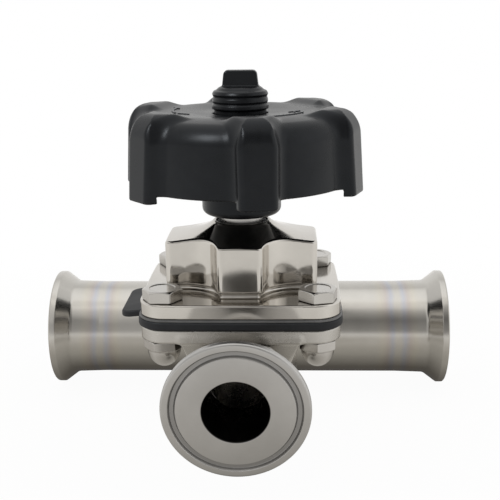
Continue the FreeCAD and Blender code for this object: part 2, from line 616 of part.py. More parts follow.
def build_handwheel():
    """Six-lobed handwheel: shell, lobes, hub and ribs under the roof."""
    body = doc.addObject("PartDesign::Body", "handwheel_body")
    wall = "wheel_panel - wheel_wall"
    shell_points = [
        ("wheel_bore", "wheel_roof"), ("wheel_panel_top - wheel_wall - 2", "wheel_roof - 1"),
        (wall, "wheel_skirt_low"), ("wheel_panel", "wheel_skirt_low"),
        ("wheel_panel_top", "wheel_dome - 6"), ("wheel_panel_top - 1.5", "wheel_dome - 3"),
        ("wheel_panel_top - 5", "wheel_dome + 0.3"), ("26.0", "wheel_dome + 0.3"),
        ("wheel_bore", "wheel_dome - 0.7")]
    profile = sketch_on(body, "wheel_shell_profile", "XZ_Plane", shell_points)
    shell = body.newObject("PartDesign::Revolution", "wheel_shell")
    shell.Profile = profile
    shell.ReferenceAxis = (profile, ["V_Axis"])
    shell.Angle = 360
    lobe_points = [
        ("wheel_panel - 3", "wheel_lobe_low + 1"), ("wheel_panel", "wheel_lobe_low"),
        ("wheel_tip - 2", "wheel_lobe_low"), ("wheel_tip", "wheel_lobe_low + 2"),
        ("wheel_tip_top", "wheel_crest - 7"), ("wheel_tip_top - 2", "wheel_crest - 2.4"),
        ("wheel_tip_top - 6", "wheel_crest"), ("32.0", "wheel_dome + 0.9"),
        ("26.0", "wheel_dome - 0.6"), ("wheel_panel_top - 6", "wheel_dome - 3")]
    lobe = symmetric_pad(body, "wheel_lobe", lobe_points, "wheel_lobe_width")
    polar(body, "wheel_lobe_ring", lobe)
    rib_points = [("wheel_hub - 1", "wheel_rib_low"), ("wheel_panel - 3", "wheel_rib_low"),
                  ("wheel_panel - 5", "wheel_roof + 1"), ("wheel_hub - 1", "wheel_roof + 1")]
    rib = symmetric_pad(body, "wheel_rib_pad", rib_points, "wheel_rib")
    polar(body, "wheel_rib_ring", rib)
    hub_points = [("wheel_bore", "insert_top"), ("insert_radius", "insert_top"),
                  ("insert_radius", "drive_hex_low"), ("wheel_neck_bore", "drive_hex_low"),
                  ("wheel_neck_bore", "wheel_hub_low"), ("wheel_hub - 2.5", "wheel_hub_low"),
                  ("wheel_hub", "wheel_hub_low + 2.5"), ("wheel_hub", "wheel_roof + 1"),
                  ("wheel_bore", "wheel_roof + 1")]
    hub_profile = sketch_on(body, "wheel_hub_profile", "XZ_Plane", hub_points)
    hub = body.newObject("PartDesign::Revolution", "wheel_hub_turn")
    hub.Profile = hub_profile
    hub.ReferenceAxis = (hub_profile, ["V_Axis"])
    hub.Angle = 360
    place(body, ("0", "-spindle_offset", "0"), (0, 0, 1), "wheel_phase - 90")
    return finish(body, "handwheel")


def build_wheel_insert():
    """Metal insert moulded in the hub, with a hexagonal bore for the drive nut."""
    blank = cylinder("insert_blank", "insert_radius", "drive_hex_low", "insert_top")
    bore = hexagon("insert_bore", "insert_flats", "drive_hex_low - 1", "insert_top + 1")
    return finish(to_spindle(cut("insert_cut", blank, [bore])), "wheel_insert")


def build_wheel_clip():
    """Ring that keeps the handwheel on the drive nut."""
    clip = open_ring("wheel_keeper", "clip_groove", "clip_outer", "drive_hex_top",
                     "drive_hex_top + clip_height", "1.6")
    return finish(to_spindle(clip), "wheel_clip")


def build_indicator_cap():
    """Cap that rises with the spindle; its rings show the lift and its wing sets the stop."""
    wing_low = "cap_base_top - 0.4"
    dip = "cap_collar - cap_groove_depth"
    points = [("cap_bore", "spindle_step + 0.05"), ("cap_bore", "snap_height - snap_wire"),
              ("cap_bore + snap_wire", "snap_height - snap_wire"),
              ("cap_bore + snap_wire", "snap_height + snap_wire"),
              ("cap_bore", "snap_height + snap_wire"), ("cap_bore", "cap_bore_top"),
              ("0", "cap_bore_top"), ("0", "cap_base_top"), ("8.2", "cap_base_top"),
              ("cap_collar", "cap_collar_top")]
    for middle in ("cap_collar_low + 4.5", "cap_collar_low + 2.2"):
        points += [("cap_collar", middle + " + cap_groove_height / 2"),
                   (dip, middle + " + cap_groove_height / 4"),
                   (dip, middle + " - cap_groove_height / 4"),
                   ("cap_collar", middle + " - cap_groove_height / 2")]
    points += [("cap_collar", "cap_collar_low"), ("cap_skirt", "cap_collar_low - 0.4"),
               ("cap_skirt", "spindle_step + 0.05")]
    top = revolved("cap_turned", points)
    skirt = cut("cap_skirt_cut",
                cylinder("cap_skirt_blank", "cap_skirt", "cap_low", "spindle_step + 0.05"),
                [hexagon("cap_hex", "cap_hex_flats", "cap_low - 1", "spindle_step + 1")])
    wing = doc.addObject("Part::Wedge", "cap_wing")
    for key, text in [("Xmin", "-wing_base"), ("Xmax", "wing_base"),
                      ("Zmin", "-wing_half"), ("Zmax", "wing_half"),
                      ("Ymax", "wing_top - (%s)" % wing_low),
                      ("X2min", "-wing_tip"), ("X2max", "wing_tip"),
                      ("Z2min", "-wing_half + 0.4"), ("Z2max", "wing_half - 0.4")]:
        wing.setExpression(key, bound(text))
    wing.Ymin = 0
    place(wing, ("0", "0", wing_low), (1, 0, 0), "90")
    doc.recompute()
    soft = doc.addObject("Part::Fillet", "cap_wing_soft")
    soft.Base = wing
    high = value_of("wing_top")
    radius = value_of("wing_corner")
    ends = []
    for index, edge in enumerate(wing.Shape.Edges):
        level = all(abs(vertex.Z - high) < 1e-6 for vertex in edge.Vertexes)
        across = abs(edge.Vertexes[0].X - edge.Vertexes[-1].X) < 1e-6
        if level and across:
            ends.append((index + 1, radius, radius))
    soft.Edges = ends
    return finish(to_spindle(fuse("cap_solid", [top, skirt, soft])), "indicator_cap")


def build_snap_ring():
    """Wire ring between the cap and the spindle end."""
    ring = primitive("Torus", "snap_ring_wire", ("0", "-spindle_offset", "snap_height"),
                     Radius1="snap_major", Radius2="snap_wire - 0.02")
    return finish(ring, "snap_ring")


def build_stop_sleeve():
    """Hexagonal stop nut on the spindle, turned by the cap, that limits the closing travel."""
    blank = hexagon("sleeve_hex", "sleeve_flats", "sleeve_low", "sleeve_top")
    bore = cylinder("sleeve_hole", "sleeve_bore", "50.0", "100.0")
    return finish(to_spindle(cut("sleeve_cut", blank, [bore])), "stop_sleeve")


def four_fasteners(name, make_one):
    """Group of four identical fasteners on the bolt pattern."""
    items = []
    for index, (side_x, side_y) in enumerate([("", ""), ("-", ""), ("-", "-"), ("", "-")]):
        turn = name.split("_")[1] + ("_turn_left" if side_x else "_turn_right")
        items.append(make_one("%s_%d" % (name, index), side_x + "bolt_x", side_y + "bolt_y", turn))
    group = doc.addObject("Part::Compound", name + "_group")
    group.Links = items
    return to_spindle(group)


def flange_bolt(name, x, y, turn):
    """Hexagon-head bolt."""
    top = "bonnet_flange_top + bolt_head_height"
    head = hexagon(name + "_head", "bolt_head_flats", "bonnet_flange_top", top, x, y, turn)
    cap = primitive("Cone", name + "_bevel", (x, y, "bonnet_flange_top - 1"),
                    Radius1="bolt_head_flats / 2 + 7.1", Radius2="bolt_head_flats / 2 - 0.2",
                    Height="bolt_head_height + 1")
    shank = cylinder(name + "_shank", "bolt_radius", "bolt_low", "bonnet_flange_top", x, y)
    return fuse(name, [common(name + "_bevelled", [head, cap]), shank])


def dome_nut(name, x, y, turn):
    """Domed cap nut under the body flange."""
    joint = "body_flange_low - nut_hex_height"
    low = "body_flange_low - nut_height"
    hexed = hexagon(name + "_hex", "bolt_head_flats", joint, "body_flange_low", x, y, turn)
    dome = primitive("Ellipsoid", name + "_dome", (x, y, joint), Radius1=joint + " - (%s)" % low,
                     Radius2="nut_dome_radius", Radius3="nut_dome_radius")
    dome.Angle1 = -90
    dome.Angle2 = 90
    dome.Angle3 = 360
    half = common(name + "_half", [dome, cylinder(name + "_trim", "nut_dome_radius", low, joint, x, y)])
    bore = cylinder(name + "_bore", "nut_bore", "nut_blind", "30.0", x, y)
    return cut(name, fuse(name + "_solid", [hexed, half]), [bore])


def check_and_export():
    """Refuse a broken model, then write one STEP file per sub-part."""
    doc.recompute()
    for thing in doc.Objects:
        if "Invalid" in thing.State or "Error" in thing.State:
            raise RuntimeError("not computed: %s %s" % (thing.Name, thing.State))
    os.makedirs("parts", exist_ok=True)
    for thing in FINISHED:
        shape = thing.Shape
        if shape.isNull() or not shape.isValid() or shape.Volume <= 0:
            raise RuntimeError("bad shape: " + thing.Label)
        shape.exportStep("parts/%s.step" % thing.Label)
        box_of = shape.BoundBox
        print("%-18s solids %d volume %9.1f  x %7.2f %7.2f  y %7.2f %7.2f  z %7.2f %7.2f" % (
            thing.Label, len(shape.Solids), shape.Volume, box_of.XMin, box_of.XMax,
            box_of.YMin, box_of.YMax, box_of.ZMin, box_of.ZMax))


build_valve_body()
build_run_tube()
build_run_ferrule("run_ferrule_right", 1)
build_run_ferrule("run_ferrule_left", -1)
build_outlet_ferrule()
build_outlet_tube()
build_diaphragm()
build_backing()
build_web()
build_stud()
build_compressor()
build_compressor_pin()
build_bonnet()
build_neck_bush()
build_neck_seal()
build_thrust_washers()
build_retaining_ring()
build_drive_nut()
build_spindle()
build_handwheel()
build_wheel_insert()
build_wheel_clip()
build_indicator_cap()
build_snap_ring()
build_stop_sleeve()
finish(four_fasteners("flange_bolt", flange_bolt), "flange_bolts")
finish(four_fasteners("dome_nut", dome_nut), "dome_nuts")
check_and_export()
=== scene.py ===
import bpy
import math
import numpy as np
from mathutils import Matrix, Vector


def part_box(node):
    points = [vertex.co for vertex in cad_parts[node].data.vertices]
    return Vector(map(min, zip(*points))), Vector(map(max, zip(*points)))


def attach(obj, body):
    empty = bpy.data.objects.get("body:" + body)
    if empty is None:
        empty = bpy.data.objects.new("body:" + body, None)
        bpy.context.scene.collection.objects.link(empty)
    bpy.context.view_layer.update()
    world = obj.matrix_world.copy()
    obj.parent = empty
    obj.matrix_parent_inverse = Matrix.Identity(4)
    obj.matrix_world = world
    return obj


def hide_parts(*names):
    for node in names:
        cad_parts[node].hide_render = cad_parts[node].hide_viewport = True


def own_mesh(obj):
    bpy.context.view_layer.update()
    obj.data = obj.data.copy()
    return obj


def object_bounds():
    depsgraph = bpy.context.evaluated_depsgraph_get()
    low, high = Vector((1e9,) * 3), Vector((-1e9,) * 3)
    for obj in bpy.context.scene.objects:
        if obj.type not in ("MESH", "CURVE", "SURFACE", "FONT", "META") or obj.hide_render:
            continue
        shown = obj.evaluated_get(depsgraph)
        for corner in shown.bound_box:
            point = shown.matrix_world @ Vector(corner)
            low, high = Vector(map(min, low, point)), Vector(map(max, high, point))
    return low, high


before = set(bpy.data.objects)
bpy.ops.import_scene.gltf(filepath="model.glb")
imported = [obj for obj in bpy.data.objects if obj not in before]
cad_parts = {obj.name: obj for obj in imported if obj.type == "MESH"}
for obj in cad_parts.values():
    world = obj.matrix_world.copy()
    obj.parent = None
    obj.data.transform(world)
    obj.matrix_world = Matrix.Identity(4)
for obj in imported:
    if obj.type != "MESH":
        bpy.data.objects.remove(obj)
cad_low, cad_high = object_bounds()

MM = 0.001


def box_mm(node):
    """Low and high corner of a CAD node in millimetres."""
    low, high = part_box(node)
    return np.array(low) / MM, np.array(high) / MM


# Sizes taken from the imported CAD, in millimetres.
SPINDLE_LOW, SPINDLE_HIGH = box_mm("spindle")
AXIS_Y = float((SPINDLE_LOW[1] + SPINDLE_HIGH[1]) / 2)
BONNET_LOW, BONNET_HIGH = box_mm("bonnet")
FLANGE_X = float(BONNET_HIGH[0])
FLANGE_Y = float((BONNET_HIGH[1] - BONNET_LOW[1]) / 2)
BOLT_LOW, _ = box_mm("flange_bolts")
DIAPHRAGM_LOW, DIAPHRAGM_HIGH = box_mm("diaphragm")
BODY_TOP = float(DIAPHRAGM_LOW[2])
CUSHION_LOW = float(DIAPHRAGM_HIGH[2])
BONNET_BASE = float(BONNET_LOW[2])
NECK_TOP = float(BONNET_HIGH[2])
WHEEL_LOW, _ = box_mm("handwheel")
_, CAP_HIGH = box_mm("indicator_cap")
_, FERRULE_HIGH = box_mm("run_ferrule_right")
_, TUBE_HIGH = box_mm("run_tube")
RIM = float(FERRULE_HIGH[2])
RUN_RADIUS = float(TUBE_HIGH[2])
RUN_HALF = float(FERRULE_HIGH[0])
TUBE_END = float(TUBE_HIGH[0])

# Sizes that the CAD states as parameters.
FLANGE_TOP = 39.3
BODY_FLANGE_LOW = 24.6
FLANGE_CORNER = 9.5
BOLT_X, BOLT_Y = 28.3, 24.0
BOLT_HOLE = 4.4
ACROSS_FLATS = 13.0
BOLT_HEAD = 4.4
NUT_HEX = 3.8
RUN_BORE = RUN_RADIUS - 1.5
TILT = math.radians(6.0)
OUTLET_REACH = 64.4
OUTLET_Y, OUTLET_Z = AXIS_Y - OUTLET_REACH, 13.0
OUTLET_BORE = 11.3
GROOVE_RADIUS = 21.4
PORT_END = 23.0
FRONT_WALL = -42.5
PASSAGE = 11.0
PASSAGE_SLOPE = math.atan2(16.0, 34.5)
WHEEL_PHASE = math.radians(10.0 - 90.0)
WHEEL_SKIRT = 79.0
MEMBRANE = 19.0
WEIR_DROP = 8.7
SPHERE_R = (MEMBRANE ** 2 + WEIR_DROP ** 2) / (2 * WEIR_DROP)
SPHERE_Z = BODY_TOP - WEIR_DROP + SPHERE_R


# ---------------------------------------------------------------- fields

def hypot(a, b):
    return np.sqrt(a * a + b * b)


def smooth(value, start, stop):
    """Smooth step from 0 at start to 1 at stop."""
    t = np.clip((value - start) / (stop - start), 0, 1)
    return t * t * (3 - 2 * t)


def round_union(a, b, radius):
    """Union of two distance fields with a concave fillet."""
    u = np.maximum(radius - a, 0)
    v = np.maximum(radius - b, 0)
    return np.maximum(radius, np.minimum(a, b)) - hypot(u, v)


def round_common(a, b, radius):
    """Intersection of two distance fields with a rounded edge."""
    u = np.maximum(radius + a, 0)
    v = np.maximum(radius + b, 0)
    return np.minimum(-radius, np.maximum(a, b)) + hypot(u, v)


def round_cut(a, b, radius):
    """First field less the second, with a rounded edge."""
    return round_common(a, -b, radius)


def slab(z, low, high):
    return np.abs(z - (low + high) / 2) - (high - low) / 2


def rounded_rect(x, y, half_x, half_y, radius):
    """Distance to a rectangle with rounded corners."""
    qx = np.abs(x) - half_x + radius
    qy = np.abs(y) - half_y + radius
    outside = hypot(np.maximum(qx, 0), np.maximum(qy, 0))
    return outside + np.minimum(np.maximum(qx, qy), 0) - radius


def flange_outline(x, y, half_x, half_y, corner):
    """Flange outline with slightly bowed sides."""
    bowed_x = x * (1 + 0.016 * (y / half_y) ** 2)
    bowed_y = y * (1 + 0.016 * (x / half_x) ** 2)
    return rounded_rect(bowed_x, bowed_y, half_x, half_y, corner)


def hexagon(x, y, flats, angle):
    """Distance to a hexagon given by its width across flats."""
    c, s = math.cos(angle), math.sin(angle)
    u, v = np.abs(c * x + s * y), np.abs(-s * x + c * y)
    return np.maximum(v, math.cos(math.pi / 6) * u + 0.5 * v) - flats / 2


def polygonise(field, low, high, step):
    """Surface nets over a grid, settled on the field, with normals from its gradient."""
    low, high = np.array(low, float), np.array(high, float)
    step = np.ones(3) * step
    counts = np.ceil((high - low) / step).astype(int) + 1
    ticks = [low[i] + step[i] * np.arange(counts[i]) for i in range(3)]
    x, y, z = np.meshgrid(*ticks, indexing="ij", sparse=True)
    values = np.ascontiguousarray(np.broadcast_to(field(x, y, z), counts))
    inside = values < 0
    cell_shape = tuple(counts - 1)
    filled = np.zeros(cell_shape, np.uint8)
    for i in (0, 1):
        for j in (0, 1):
            for k in (0, 1):
                filled += inside[i:i + cell_shape[0], j:j + cell_shape[1], k:k + cell_shape[2]]
    cells = np.argwhere((filled > 0) & (filled < 8))
    index = np.full(cell_shape, -1, np.int64)
    index[tuple(cells.T)] = np.arange(len(cells))
    points = low + (cells + crossing_middles(values, cells)) * step
    points, normals = settle(field, points, 0.6 * float(step.max()))
    return points, crossing_quads(inside, index), normals


def crossing_middles(values, cells):
    """Mean place in each cell, 0 to 1, of the crossings on the cell's edges."""
    total, hits = np.zeros((len(cells), 3)), np.zeros(len(cells))
    for axis in range(3):
        first, second = [i for i in range(3) if i != axis]
        for i in (0, 1):
            for j in (0, 1):
                start = np.zeros(3, int)
                start[first], start[second] = i, j
                stop = start.copy()
                stop[axis] = 1
                v0 = values[tuple((cells + start).T)]
                v1 = values[tuple((cells + stop).T)]
                crossing = (v0 < 0) != (v1 < 0)
                share = np.where(crossing, v0 / np.where(crossing, v0 - v1, 1), 0)
                point = np.broadcast_to(start.astype(float), total.shape).copy()
                point[:, axis] += share
                total[crossing] += point[crossing]
                hits[crossing] += 1
    return total / hits[:, None]


def crossing_quads(inside, index):
    """A face for each grid edge that leaves or enters the solid, turned outwards."""
    quads = []
    for axis in range(3):
        b, c = (axis + 1) % 3, (axis + 2) % 3
        lower = [slice(None)] * 3
        upper = [slice(None)] * 3
        lower[axis], upper[axis] = slice(0, -1), slice(1, None)
        for other in (b, c):
            lower[other] = upper[other] = slice(1, -1)
        first, second = inside[tuple(lower)], inside[tuple(upper)]
        for outward in (True, False):
            change = (first & ~second) if outward else (~first & second)
            p = np.argwhere(change)
            p[:, b] += 1
            p[:, c] += 1
            ub, uc = np.zeros(3, int), np.zeros(3, int)
            ub[b], uc[c] = 1, 1
            ring = [p - ub - uc, p - uc, p, p - ub]
            if not outward:
                ring.reverse()
            quads.append(np.stack([index[tuple(q.T)] for q in ring], axis=1))
    return np.concatenate(quads)


def settle(field, points, limit):
    """Points moved onto the surface in steps no longer than a limit, and their normals."""
    for _ in range(4):
        value, slope = field_and_slope(field, points)
        size = np.maximum((slope * slope).sum(1), 1e-6)
        move = slope * (value / size)[:, None]
        reach = np.sqrt((move * move).sum(1))
        points -= move * np.minimum(1, limit / np.maximum(reach, 1e-9))[:, None]
    _, slope = field_and_slope(field, points)
    return points, slope / np.maximum(np.sqrt((slope * slope).sum(1)), 1e-9)[:, None]


def field_and_slope(field, points):
    """Value and gradient of a field at points."""
    x, y, z = points.T
    d = 0.03
    value = field(x, y, z)
    slope = np.stack([field(x + d, y, z) - field(x - d, y, z),
                      field(x, y + d, z) - field(x, y - d, z),
                      field(x, y, z + d) - field(x, y, z - d)], axis=1) / (2 * d)
    return value, slope


# ---------------------------------------------------------------- meshes

SHARP = math.radians(32)


def add_piece(name, points, faces, normals, material, body, stands_for=()):
    """Mesh in millimetres made into a piece that rides on a CAD body."""
    mesh = bpy.data.meshes.new(name)
    mesh.from_pydata((np.asarray(points) * MM).tolist(), [], [list(map(int, f)) for f in faces])
    mesh.validate()
    mesh.shade_smooth()
    if normals is not None:
        mesh.normals_split_custom_set_from_vertices(np.asarray(normals).tolist())
    mesh.materials.append(material)
    piece = bpy.data.objects.new(name, mesh)
    bpy.context.scene.collection.objects.link(piece)
    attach(piece, body)
    if stands_for:
        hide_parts(*stands_for)
    return piece


def field_piece(name, field, low, high, step, material, body, stands_for=(), centre=(0, 0, 0)):
    """Piece made from a field given round a centre."""
    points, faces, normals = polygonise(field, low, high, step)
    return add_piece(name, points + np.array(centre, float), faces, normals,
                     material, body, stands_for)


def rounded_profile(corners):
    """Closed profile of (radius, height, rounding) corners, with arcs at the roundings."""
    out = []
    count = len(corners)
    for index in range(count):
        before, here, after = (np.array(corners[(index + k) % count][:2], float) for k in (-1, 0, 1))
        radius = corners[index][2]
        if radius <= 0:
            out.append(here)
            continue
        a, b = before - here, after - here
        la, lb = np.linalg.norm(a), np.linalg.norm(b)
        a, b = a / la, b / lb
        angle = math.acos(max(-1, min(1, float(a @ b))))
        reach = min(radius / math.tan(angle / 2), 0.49 * la, 0.49 * lb)
        radius = reach * math.tan(angle / 2)
        middle = (a + b) / np.linalg.norm(a + b) * radius / math.sin(angle / 2) + here
        start, stop = here + a * reach - middle, here + b * reach - middle
        turn = math.atan2(start[0] * stop[1] - start[1] * stop[0], float(start @ stop))
        steps = max(3, int(abs(turn) / 0.16))
        for k in range(steps + 1):
            t = turn * k / steps
            c, s = math.cos(t), math.sin(t)
            out.append(middle + np.array([c * start[0] - s * start[1], s * start[0] + c * start[1]]))
    return out


def lathe(name, corners, matrix, material, body, stands_for=(), segments=144):
    """Turned piece: a closed rounded profile turned round Z, then placed by a matrix."""
    profile = rounded_profile(corners)
    rows = len(profile)
    points, faces = [], []
    for k in range(segments):
        t = 2 * math.pi * k / segments
        for radius, height in profile:
            points.append((radius * math.cos(t), radius * math.sin(t), height))
    for k in range(segments):
        for j in range(rows):
            a, b = k * rows + j, k * rows + (j + 1) % rows
            c, d = ((k + 1) % segments) * rows + (j + 1) % rows, ((k + 1) % segments) * rows + j
            faces.append((a, d, c, b))
    points = np.array(points)
    area = sum(profile[j][0] * profile[(j + 1) % rows][1] - profile[(j + 1) % rows][0] * profile[j][1]
               for j in range(rows))
    if area < 0:
        faces = [f[::-1] for f in faces]
    m = np.array(matrix, float)
    points = points @ m[:3, :3].T + m[:3, 3]
    piece = add_piece(name, points, faces, None, material, body, stands_for)
    piece.data.set_sharp_from_angle(angle=SHARP)
    return piece


def upright(x=0.0, y=0.0):
    return Matrix.Translation((x, y, 0))


def along_run(side):
    """Turns Z to +X or -X."""
    return Matrix.Rotation(math.radians(90 * side), 4, "Y")


def along_outlet(distance=0.0):
    """Z runs from the outlet face into the body."""
    place = (0, OUTLET_Y + distance * math.cos(TILT), OUTLET_Z + distance * math.sin(TILT))
    return Matrix.Translation(place) @ Matrix.Rotation(TILT - math.pi / 2, 4, "X")


# ---------------------------------------------------------------- materials

class Look:
    """Small helper that builds a node material."""

    def __init__(self, name):
        self.material = bpy.data.materials.new(name)
        self.material.use_nodes = True
        self.tree = self.material.node_tree
        self.shader = self.tree.nodes["Principled BSDF"]
        self.coords = self.tree.nodes.new("ShaderNodeTexCoord").outputs["Object"]

    def link(self, a, b):
        self.tree.links.new(a, b)
        return b

    def stretched(self, scale, turn=(0, 0, 0)):
        node = self.tree.nodes.new("ShaderNodeMapping")
        node.inputs["Scale"].default_value = scale
        node.inputs["Rotation"].default_value = turn
        self.link(self.coords, node.inputs["Vector"])
        return node.outputs["Vector"]

    def noise(self, scale, detail=4.0, rough=0.55, vector=None):
        node = self.tree.nodes.new("ShaderNodeTexNoise")
        node.inputs["Scale"].default_value = scale
        node.inputs["Detail"].default_value = detail
        node.inputs["Roughness"].default_value = rough
        self.link(vector if vector is not None else self.coords, node.inputs["Vector"])
        return node.outputs["Fac"]

    def span(self, value, low, high, from_low=0.3, from_high=0.7):
        node = self.tree.nodes.new("ShaderNodeMapRange")
        node.inputs["From Min"].default_value = from_low
        node.inputs["From Max"].default_value = from_high
        node.inputs["To Min"].default_value = low
        node.inputs["To Max"].default_value = high
        self.link(value, node.inputs["Value"])
        return node.outputs["Result"]

    def math(self, kind, a, b=None, clamp=False):
        node = self.tree.nodes.new("ShaderNodeMath")
        node.operation = kind
        node.use_clamp = clamp
        for socket, item in zip(node.inputs, (a, b)):
            if item is None:
                continue
            if isinstance(item, (int, float)):
                socket.default_value = item
            else:
                self.link(item, socket)
        return node.outputs[0]

    def mix(self, factor, a, b):
        node = self.tree.nodes.new("ShaderNodeMix")
        node.data_type = "RGBA"
        if isinstance(factor, (int, float)):
            node.inputs["Factor"].default_value = factor
        else:
            self.link(factor, node.inputs["Factor"])
        for key, item in (("A", a), ("B", b)):
            socket = [s for s in node.inputs if s.name == key and s.type == "RGBA"][0]
            if isinstance(item, tuple):
                socket.default_value = item + (1,)
            else:
                self.link(item, socket)
        return [s for s in node.outputs if s.type == "RGBA"][0]

    def ramp(self, value, stops):
        node = self.tree.nodes.new("ShaderNodeValToRGB")
        elements = node.color_ramp.elements
        while len(elements) < len(stops):
            elements.new(0.5)
        for element, (place, colour) in zip(elements, stops):
            element.position = place
            element.color = colour + (1,)
        self.link(value, node.inputs["Fac"])
        return node.outputs["Color"]

    def bump(self, height, strength, distance, normal=None):
        node = self.tree.nodes.new("ShaderNodeBump")
        node.inputs["Strength"].default_value = strength
        node.inputs["Distance"].default_value = distance
        self.link(height, node.inputs["Height"])
        if normal is not None:
            self.link(normal, node.inputs["Normal"])
        return node.outputs["Normal"]

    def position(self):
        node = self.tree.nodes.new("ShaderNodeSeparateXYZ")
        self.link(self.coords, node.inputs["Vector"])
        return node.outputs


def steel(name, colour, rough_low, rough_high, wave=0.00003, brush=None, brush_depth=0.0000015):
    """Stainless steel: slightly wavy polish, patches of haze and fine lines."""
    look = Look(name)
    patches = look.noise(45.0, 5.0, 0.6)
    fine = look.noise(900.0, 3.0, 0.6)
    haze = look.math("ADD", look.math("MULTIPLY", patches, 0.75), look.math("MULTIPLY", fine, 0.25))
    look.link(look.span(haze, rough_low, rough_high, 0.35, 0.65), look.shader.inputs["Roughness"])
    darker = tuple(c * 0.86 for c in colour)
    look.link(look.mix(look.span(patches, 0.0, 1.0), darker, colour), look.shader.inputs["Base Color"])
    look.shader.inputs["Metallic"].default_value = 1.0
    normal = look.bump(look.noise(60.0, 2.0, 0.5), 0.35, wave)
    lines = look.noise(1.0, 3.0, 0.65, look.stretched(brush or (1500, 1500, 60)))
    look.link(look.bump(lines, 0.5, brush_depth, normal), look.shader.inputs["Normal"])
    return look


def plastic(name, colour, rough_low, rough_high, grain, shine=0.3):
    """Moulded black plastic with a fine grain and faint handling marks."""
    look = Look(name)
    marks = look.noise(70.0, 6.0, 0.65)
    speck = look.noise(2600.0, 2.0, 0.5)
    look.link(look.span(marks, rough_low, rough_high), look.shader.inputs["Roughness"])
    lighter = tuple(min(1.0, c * 1.7 + 0.003) for c in colour)
    look.link(look.mix(look.span(marks, 0.0, 1.0), colour, lighter), look.shader.inputs["Base Color"])
    look.shader.inputs["Specular IOR Level"].default_value = shine
    # Painted cool light: the specular tint makes reflections bluish, standing in for bluish highlights.
    look.shader.inputs["Specular Tint"].default_value = (0.88, 0.94, 1.0, 1)
    normal = look.bump(look.noise(35.0, 2.0), 0.25, 0.00004)
    look.link(look.bump(speck, 0.35, grain, normal), look.shader.inputs["Normal"])
    return look


def darken(look, share, dark):
    """Mix the base colour towards a dark one by a 0 to 1 share."""
    base = look.shader.inputs["Base Color"].links[0].from_socket
    look.link(look.mix(share, base, dark), look.shader.inputs["Base Color"])
    return look


def painted_corner_shade(look, reach, depth):
    """Painted shade: the base colour darkened in narrow corners by an occlusion mask, standing in for the
    shadowed neighbours that the steel reflects there.
    """
    node = look.tree.nodes.new("ShaderNodeAmbientOcclusion")
    node.samples = 16
    node.inputs["Distance"].default_value = reach
    share = look.span(node.outputs["AO"], depth, 0.0, 0.25, 0.80)
    return darken(look, share, (0.060, 0.052, 0.044))


def painted_outlet_shade(look, groove):
    """Painted shade: the base colour darkened inside the unlit bore of the outlet and, where wanted, in the
    gasket groove of its face.
    """
    node = look.tree.nodes.new("ShaderNodeNewGeometry")
    split = look.tree.nodes.new("ShaderNodeSeparateXYZ")
    look.link(node.outputs["Position"], split.inputs["Vector"])
    x, y, z = split.outputs
    depth = look.math("SUBTRACT", y, OUTLET_Y * MM)
    rise = look.math("SUBTRACT", z, OUTLET_Z * MM)
    along = look.math("ADD", look.math("MULTIPLY", depth, math.cos(TILT)),
                      look.math("MULTIPLY", rise, math.sin(TILT)))
    across = look.math("SUBTRACT", look.math("MULTIPLY", rise, math.cos(TILT)),
                       look.math("MULTIPLY", depth, math.sin(TILT)))
    radius = look.math("SQRT", look.math("ADD", look.math("MULTIPLY", x, x),
                                         look.math("MULTIPLY", across, across)))
    inside = look.span(radius, 1.0, 0.0, (OUTLET_BORE + 0.20) * MM, (OUTLET_BORE + 0.42) * MM)
    in_reach = look.span(along, 1.0, 0.0, (PORT_END - 0.5) * MM, (PORT_END + 0.5) * MM)
    # Painted shade inside the bore.
    darken(look, look.math("MULTIPLY", inside, in_reach), (0.030, 0.029, 0.028))
    if groove:
        # Painted shade in the gasket groove.
        ring = look.math("ABSOLUTE", look.math("SUBTRACT", radius, GROOVE_RADIUS * MM))
        within = look.span(ring, 0.45, 0.0, 0.0011, 0.0015)
        deep = look.span(along, 0.0, 1.0, 0.0001, 0.0007)
        before = look.span(along, 1.0, 0.0, 0.0013, 0.0016)
        share = look.math("MULTIPLY", look.math("MULTIPLY", within, deep), before)
        darken(look, share, (0.16, 0.16, 0.165))
    return look


# Painted corner shade on the bonnet, body and fasteners.
POLISHED = painted_corner_shade(steel("polished_steel", (0.70, 0.67, 0.625), 0.07, 0.16), 0.006, 0.25).material
BODY_STEEL = painted_outlet_shade(painted_corner_shade(steel("body_steel", (0.62, 0.60, 0.565), 0.20, 0.32),
                                         0.012, 0.85), False).material
FASTENER = painted_corner_shade(steel("fastener_steel", (0.62, 0.60, 0.57), 0.12, 0.22), 0.004, 0.9).material
INNER_STEEL = steel("inner_steel", (0.60, 0.59, 0.57), 0.25, 0.40).material
# Painted shade in the outlet bore of the body and tube, and in the ferrule's gasket groove.
OUTLET_STEEL = painted_outlet_shade(steel("outlet_tube_steel", (0.64, 0.62, 0.58), 0.22, 0.32), False).material
FACE_STEEL = painted_outlet_shade(steel("ferrule_face_steel", (0.60, 0.59, 0.575), 0.30, 0.42,
                                brush=(90, 1400, 1400)), True).material
BRONZE = steel("turned_bronze", (0.62, 0.42, 0.20), 0.22, 0.38, brush=(60, 60, 1500)).material
# The slight blue in this black is painted cool light, standing in for the bluish cast of its highlights.
BLACK = plastic("black_plastic", (0.0042, 0.0045, 0.0054), 0.25, 0.33, 0.000006, 0.27).material
# The marks are the same black plastic in relief; their lighter base colour is painted sheen standing in for
# highlights on the relief.
MARK = plastic("black_plastic_marks", (0.017, 0.018, 0.021), 0.30, 0.40, 0.000006, 0.5).material
GREY_RUBBER = plastic("grey_rubber", (0.13, 0.13, 0.13), 0.45, 0.60, 0.00002).material
RUBBER = plastic("black_rubber", (0.012, 0.012, 0.013), 0.44, 0.60, 0.00002, 0.32).material


